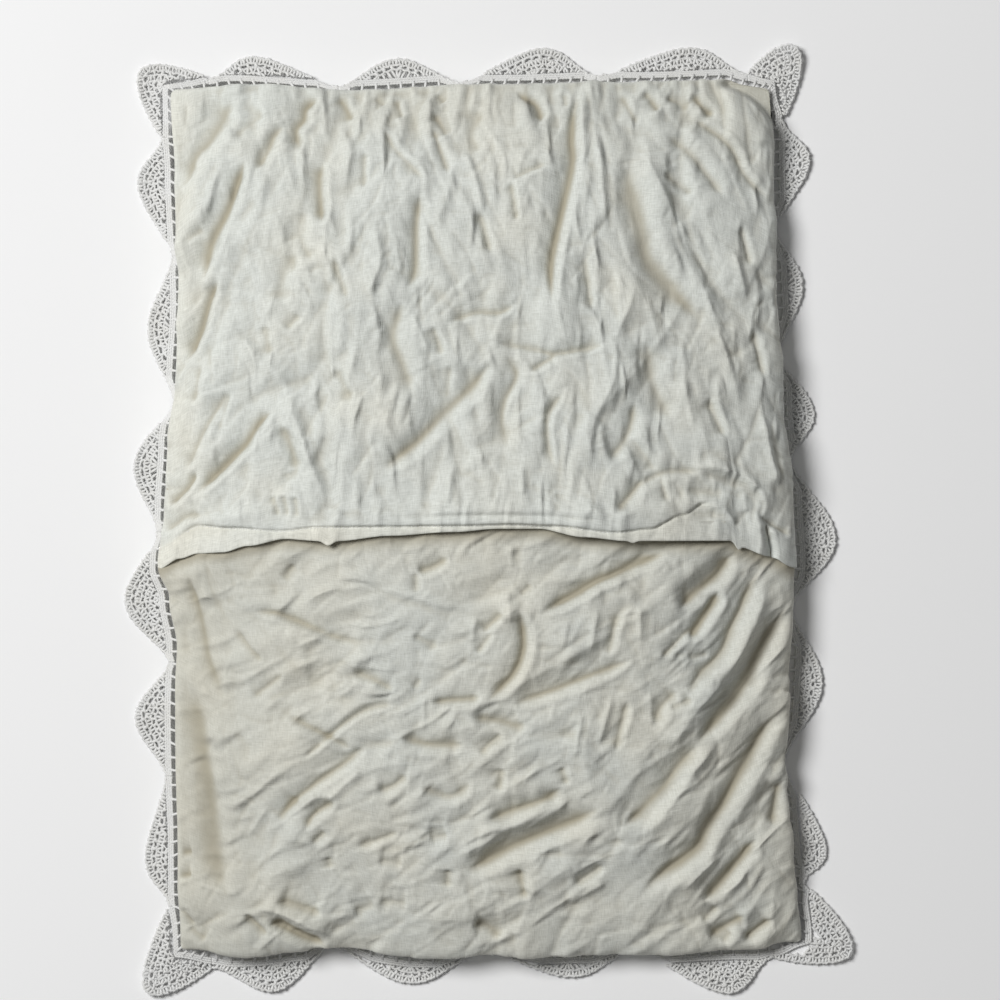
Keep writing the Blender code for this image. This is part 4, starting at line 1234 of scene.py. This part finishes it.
class Scallop:
    """Lines of one scallop of the edging, from valley to valley."""

    def __init__(self, index, ladder):
        valley_x, valley_y, tip_x, tip_y, self.curl, power = SCALLOPS[index]
        following = np.array(SCALLOPS[(index + 1) % len(SCALLOPS)][:2])
        valley = np.array((valley_x, valley_y))
        self.share = np.linspace(0.0, 1.0, 241)
        start, end = valley_turn(index), valley_turn(index + 1)
        corner = math.ceil(start)
        turn = mix(start, end, self.share)
        if corner < end:
            before, after = self.share * 2.0, self.share * 2.0 - 1.0
            turn = np.where(after < 0.0, mix(start, corner, before), mix(corner, end, after))
        turn = turn + 4.0
        side = np.floor(turn).astype(int)
        corners = np.array(CORNERS)
        place = mix(corners[side % 4], corners[(side + 1) % 4], (turn - side)[:, None])
        self.seam = pocket(place[:, 0], place[:, 1])
        reach = np.array((tip_x, tip_y)) - (valley + following) / 2.0
        height = np.clip(np.sin(np.pi * self.share), 0.0, 1.0)[:, None]
        self.outline = mix(valley, following, self.share[:, None]) + reach * height ** power
        way = np.gradient(self.outline, axis=0)
        way = way / np.linalg.norm(way, axis=1, keepdims=True)
        self.way = way
        self.inward = np.stack([way[:, 1], -way[:, 0]], axis=1)
        away = self.outline - self.seam[:, :2]
        self.reach = np.linalg.norm(away, axis=1)
        self.away = away / self.reach[:, None]
        tables = (TOP_SIDE, RIGHT_SIDE, BOTTOM_SIDE, LEFT_SIDE)
        hidden = [float(read(tables[number % 4], spot[number % 2], 2))
                  for number, spot in zip(side, self.seam)]
        self.ladder = np.minimum(ladder + np.array(hidden), 0.6 * self.reach)
        self.strand = np.minimum(1.7, (self.reach - self.ladder - 0.7) / 3.0)
        self.foot = self.ladder + 3.0 * self.strand
        self.heart = self.out_from_seam(np.array([0.5]), np.interp([0.5], self.share, self.foot))[0]
        self.depth = self.reach[len(self.reach) // 2] - np.interp(0.5, self.share, self.foot)

    def along(self, values, share):
        """Values of one of the lines at shares of the way from valley to valley."""
        return np.stack([np.interp(share, self.share, column) for column in values.T], axis=-1)

    def out_from_seam(self, share, distance):
        """Points a distance out from the seam."""
        return self.along(self.seam[:, :2], share) + self.along(self.away, share) * distance[:, None]

    def in_from_rim(self, share, depth):
        """Points a depth in from the rim, square to it."""
        return self.along(self.outline, share) + self.along(self.inward, share) * depth

    def from_seam(self, points):
        """Distance from the seam, and the nearest place on it."""
        apart = np.linalg.norm(points[:, None, :] - self.seam[None, :, :2], axis=2)
        nearest = apart.argmin(axis=1)
        return apart[np.arange(len(points)), nearest], nearest

    def row_shares(self, depth, pitch):
        """Runs of evenly spaced places on the row at a depth, where the row has room."""
        line = self.in_from_rim(self.share, depth)
        apart = np.linalg.norm(line[:, None, :] - self.outline[None, :, :], axis=2).min(axis=1)
        distance, nearest = self.from_seam(line)
        room = (apart > depth - 0.35) & (distance > self.foot[nearest] + 0.3)
        ends = np.flatnonzero(np.diff(np.concatenate([[0], room.astype(int), [0]])))
        runs = []
        for first, last in zip(ends[::2], ends[1::2]):
            if last - first > 6:
                places, length = even_places(line[first:last], pitch)
                step = np.linspace(0.0, 1.0, last - first)
                if length > 1.5 * pitch:
                    runs.append(np.interp(places, step, self.share[first:last]))
        return runs

    def laid(self, points, lift, cells):
        """The points as they lie: down from the seam, flat, and curled up at the tip."""
        distance, nearest = self.from_seam(points)
        top = self.seam[nearest, 2] - 3.1
        share = np.clip(distance / self.reach.max(), 0.0, 1.0)
        height = mix(top, 0.9, smooth(distance / 24.0)) + self.curl * share ** 2
        height = height + 0.5 * (1.0 + soft_noise(points[:, 0], points[:, 1], 14.0, cells)) * share
        return np.concatenate([points, (height + lift)[:, None]], axis=1)


# Rows of a scallop, in from its rim: from, to, distance between stitches, lean, thickness.
STITCH_ROWS = (
    (0.0, 4.4, 2.6, 0.3, 1.2), (4.4, 7.8, 6.6, 0.5, 1.5), (7.8, 12.0, 2.7, 0.8, 1.15),
    (12.0, 15.2, 4.6, 0.7, 1.2), (15.2, 19.2, 2.8, 0.7, 1.15), (19.2, 22.4, 4.6, 0.5, 1.2),
    (22.4, 26.4, 2.9, 0.5, 1.15), (26.4, 30.0, 4.0, 0.3, 1.15))


def beads(count, start):
    """Thickness along a chain of stitches."""
    return np.where((np.arange(count) + start) % 2 == 0, 1.16, 0.66)


# Distance between chain stitches, and how far a stitch strays.
CHAIN_PITCH = 1.25
STRAY = 0.22


def work_chain(curve, scallop, depth, thickness, cells, rng):
    """Chain stitches along the row at a depth."""
    for number, shares in enumerate(scallop.row_shares(depth, CHAIN_PITCH)):
        wave = 0.4 * np.sin(np.arange(len(shares)) * 1.3) + rng.normal(0.0, STRAY, len(shares))
        points = scallop.in_from_rim(shares, depth)
        points = points + scallop.along(scallop.inward, shares) * np.reshape(wave, (-1, 1))
        lift = 0.3 + 0.12 * np.sin(np.arange(len(shares)) * 0.9)
        add_thread(curve, scallop.laid(points, lift, cells), thickness * beads(len(points), number))


def work_stitches(curve, scallop, row, cells, rng):
    """Upright stitches between the chains on both sides of a row."""
    start, end, pitch, lean, thickness = row
    for shares in scallop.row_shares(mix(start, end, 0.5), pitch):
        way = scallop.along(scallop.way, shares)
        shift = lean * (-1.0) ** np.arange(len(shares)) + rng.normal(0.0, 0.36, len(shares))
        shift = shift[:, None] * way
        outer = scallop.in_from_rim(shares, start) + shift
        inner = scallop.in_from_rim(shares, end) - shift
        far, nearest = scallop.from_seam(outer)
        near, _ = scallop.from_seam(inner)
        room = np.clip((far - scallop.foot[nearest]) / np.maximum(far - near, 0.1), 0.0, 1.0)
        inner = mix(outer, inner, room[:, None])
        lines = [scallop.laid(mix(outer, inner, part), lift, cells)
                 for part, lift in ((0.0, 0.1), (0.35, 0.35), (0.7, 0.15), (1.0, -0.1))]
        for points in np.stack(lines, axis=1):
            radii = thickness * np.array((1.0, 1.2, 0.8, 0.95)) * rng.uniform(0.75, 1.25)
            points[1:3] += rng.normal(0.0, STRAY, (2, 3))
            add_thread(curve, points, radii)


def work_heart(curve, scallop, depth, cells):
    """Petals from the middle of the scallop's foot out to its innermost chain."""
    for shares in scallop.row_shares(depth, 3.9):
        outer = scallop.in_from_rim(shares, depth)
        distance, nearest = scallop.from_seam(outer)
        at = scallop.seam[nearest, :2]
        foot = at + (outer - at) * (scallop.foot[nearest] / distance)[:, None]
        spread = smooth(np.linalg.norm(foot - scallop.heart, axis=1) / 16.0)
        inner = mix(scallop.heart, foot, spread[:, None])
        lines = [scallop.laid(mix(outer, inner, part), 0.1, cells) for part in (0.0, 0.5, 1.0)]
        for points in np.stack(lines, axis=1):
            add_thread(curve, points, (1.1, 1.35, 0.95))


def work_scallop(curve, scallop, cells, rng):
    """Crochet one scallop on the band, from its rim in to its heart."""
    rows = [row for row in STITCH_ROWS if row[1] < scallop.depth - 3.5]
    work_chain(curve, scallop, 0.0, 1.35, cells, rng)
    for row in rows:
        work_stitches(curve, scallop, row, cells, rng)
        work_chain(curve, scallop, row[1], 1.25, cells, rng)
    work_heart(curve, scallop, rows[-1][1], cells)


def work_ladder(curve, scallop, rung, start, cells, rng):
    """The cord on the seam, the open ladder and the band that the scallop stands on."""
    count = len(scallop.share)
    lines = [(np.full(count, 0.9), 0.9, -0.6)]
    lines += [(scallop.ladder + scallop.strand * part, 1.35, 0.1) for part in (0.5, 1.5, 2.5)]
    for number, (distance, radius, lift) in enumerate(lines):
        line = scallop.out_from_seam(scallop.share, distance)
        places, length = even_places(line, CHAIN_PITCH)
        shares = np.interp(places, np.linspace(0.0, 1.0, count), scallop.share)
        away = np.interp(shares, scallop.share, distance)
        points = scallop.laid(scallop.out_from_seam(shares, away), lift, cells)
        add_thread(curve, points, radius * beads(len(points), number))
    while start < length:
        share = np.interp(start / length, places, shares)
        width = np.interp(share, scallop.share, scallop.ladder + scallop.strand)
        slant = rng.uniform(-0.3, 1.8) / length
        steps = np.linspace(0.0, 1.0, 4)
        ends = np.clip(share + slant * (2.0 * steps - 1.0), 0.0, 1.0)
        points = scallop.out_from_seam(ends, mix(0.4, width, steps))
        add_thread(curve, scallop.laid(points, 0.4, cells), (1.5, 1.2, 1.2, 1.6))
        start += rung * rng.uniform(0.9, 1.1)
    return start - length


class SHAM_OT_crochet_edging(bpy.types.Operator):
    """Crochet the edging: a cord on the seam, a ladder, a band, and a ring of scallops"""
    bl_idname = "sham.crochet_edging"
    bl_label = "Crochet Edging"

    def execute(self, context):
        settings = context.scene.sham_crochet
        ladder = settings.ladder / MM
        rung = settings.rung_pitch / MM
        rng = np.random.default_rng(settings.seed)
        cells = random_cells(settings.seed)
        names = ("edging_head", "edging_right", "edging_foot", "edging_left")
        start = 0.0
        for side, name in enumerate(names):
            curve = new_thread_curve(name, settings.thread / MM)
            for index in range(side * SIDE_SCALLOPS, (side + 1) * SIDE_SCALLOPS):
                scallop = Scallop(index, ladder)
                work_scallop(curve, scallop, cells, rng)
                start = work_ladder(curve, scallop, rung, start, cells, rng)
            finish = shared_material("crochet_cotton_look", cotton_material)
            side_edging = finish_threads(curve, finish)
            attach(side_edging, "root")
            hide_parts("crochet_edging")
        return {'FINISHED'}


CAMERA_OVER = (9.1 * MM, 16.1 * MM)      # place on the floor that the camera looks down on


class SHAM_OT_stage(bpy.types.Operator):
    """Set the floor, the light and the camera"""
    bl_idname = "sham.stage"
    bl_label = "Stage"

    def execute(self, context):
        scene = context.scene
        stage = scene.sham_stage
        working = bmesh.new()
        bmesh.ops.create_grid(working, x_segments=1, y_segments=1, size=4.0)
        mesh = bpy.data.meshes.new("floor")
        working.to_mesh(mesh)
        working.free()
        finish, nodes, _ = make_material("floor_look")
        shader = nodes["Principled BSDF"]
        shader.inputs["Base Color"].default_value = (*stage.floor, 1.0)
        shader.inputs["Roughness"].default_value = 0.9
        shader.inputs["Specular IOR Level"].default_value = 0.1
        link_object("floor", mesh, finish)
        light = bpy.data.lights.new("key", 'AREA')
        light.energy = stage.key
        light.shape = 'DISK'
        light.size = stage.key_size
        lamp = bpy.data.objects.new("key", light)
        lamp.location = stage.key_place
        lamp.rotation_euler = (-lamp.location).to_track_quat('-Z', 'Y').to_euler()
        scene.collection.objects.link(lamp)
        world = bpy.data.worlds.new("studio")
        world.use_nodes = True
        world.node_tree.nodes["Background"].inputs["Color"].default_value = (1.0, 1.0, 1.0, 1.0)
        world.node_tree.nodes["Background"].inputs["Strength"].default_value = stage.fill
        scene.world = world
        camera = bpy.data.cameras.new("camera")
        camera.lens = camera.sensor_width * stage.camera_height / stage.view_width
        camera.dof.use_dof = False
        eye = bpy.data.objects.new("camera", camera)
        eye.location = (*CAMERA_OVER, stage.camera_height)
        scene.collection.objects.link(eye)
        scene.camera = eye
        scene.view_settings.view_transform = 'Standard'
        return {'FINISHED'}


class SHAM_PT_builder(bpy.types.Panel):
    bl_label = "Pillow Sham"
    bl_idname = "SHAM_PT_builder"
    bl_space_type = 'VIEW_3D'
    bl_region_type = 'UI'
    bl_category = "Pillow Sham"

    def draw(self, context):
        for name in SETTINGS:
            box = self.layout.box()
            settings = getattr(context.scene, name)
            for key in type(settings).__annotations__:
                box.prop(settings, key)
        for step in STEPS:
            self.layout.operator(step.bl_idname)


SETTINGS = {
    "sham_body": ShamBodySettings,
    "sham_linen": LinenSettings,
    "sham_crochet": CrochetSettings,
    "sham_stage": StageSettings,
}
STEPS = (
    SHAM_OT_filled_front,
    SHAM_OT_lower_panel,
    SHAM_OT_upper_panel,
    SHAM_OT_hem_stitches,
    SHAM_OT_crochet_edging,
    SHAM_OT_stage,
)


def register():
    for item in (*SETTINGS.values(), *STEPS, SHAM_PT_builder):
        bpy.utils.register_class(item)
    for name, settings in SETTINGS.items():
        setattr(bpy.types.Scene, name, PointerProperty(type=settings))


def unregister():
    for name in SETTINGS:
        delattr(bpy.types.Scene, name)
    for item in (SHAM_PT_builder, *reversed(STEPS), *reversed(SETTINGS.values())):
        bpy.utils.unregister_class(item)


def main():
    register()
    for step in STEPS:
        group, name = step.bl_idname.split(".")
        result = getattr(getattr(bpy.ops, group), name)()
        if result != {'FINISHED'}:
            raise RuntimeError(step.bl_label + " was not built")
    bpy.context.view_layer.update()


if __name__ == "__main__":
    main()
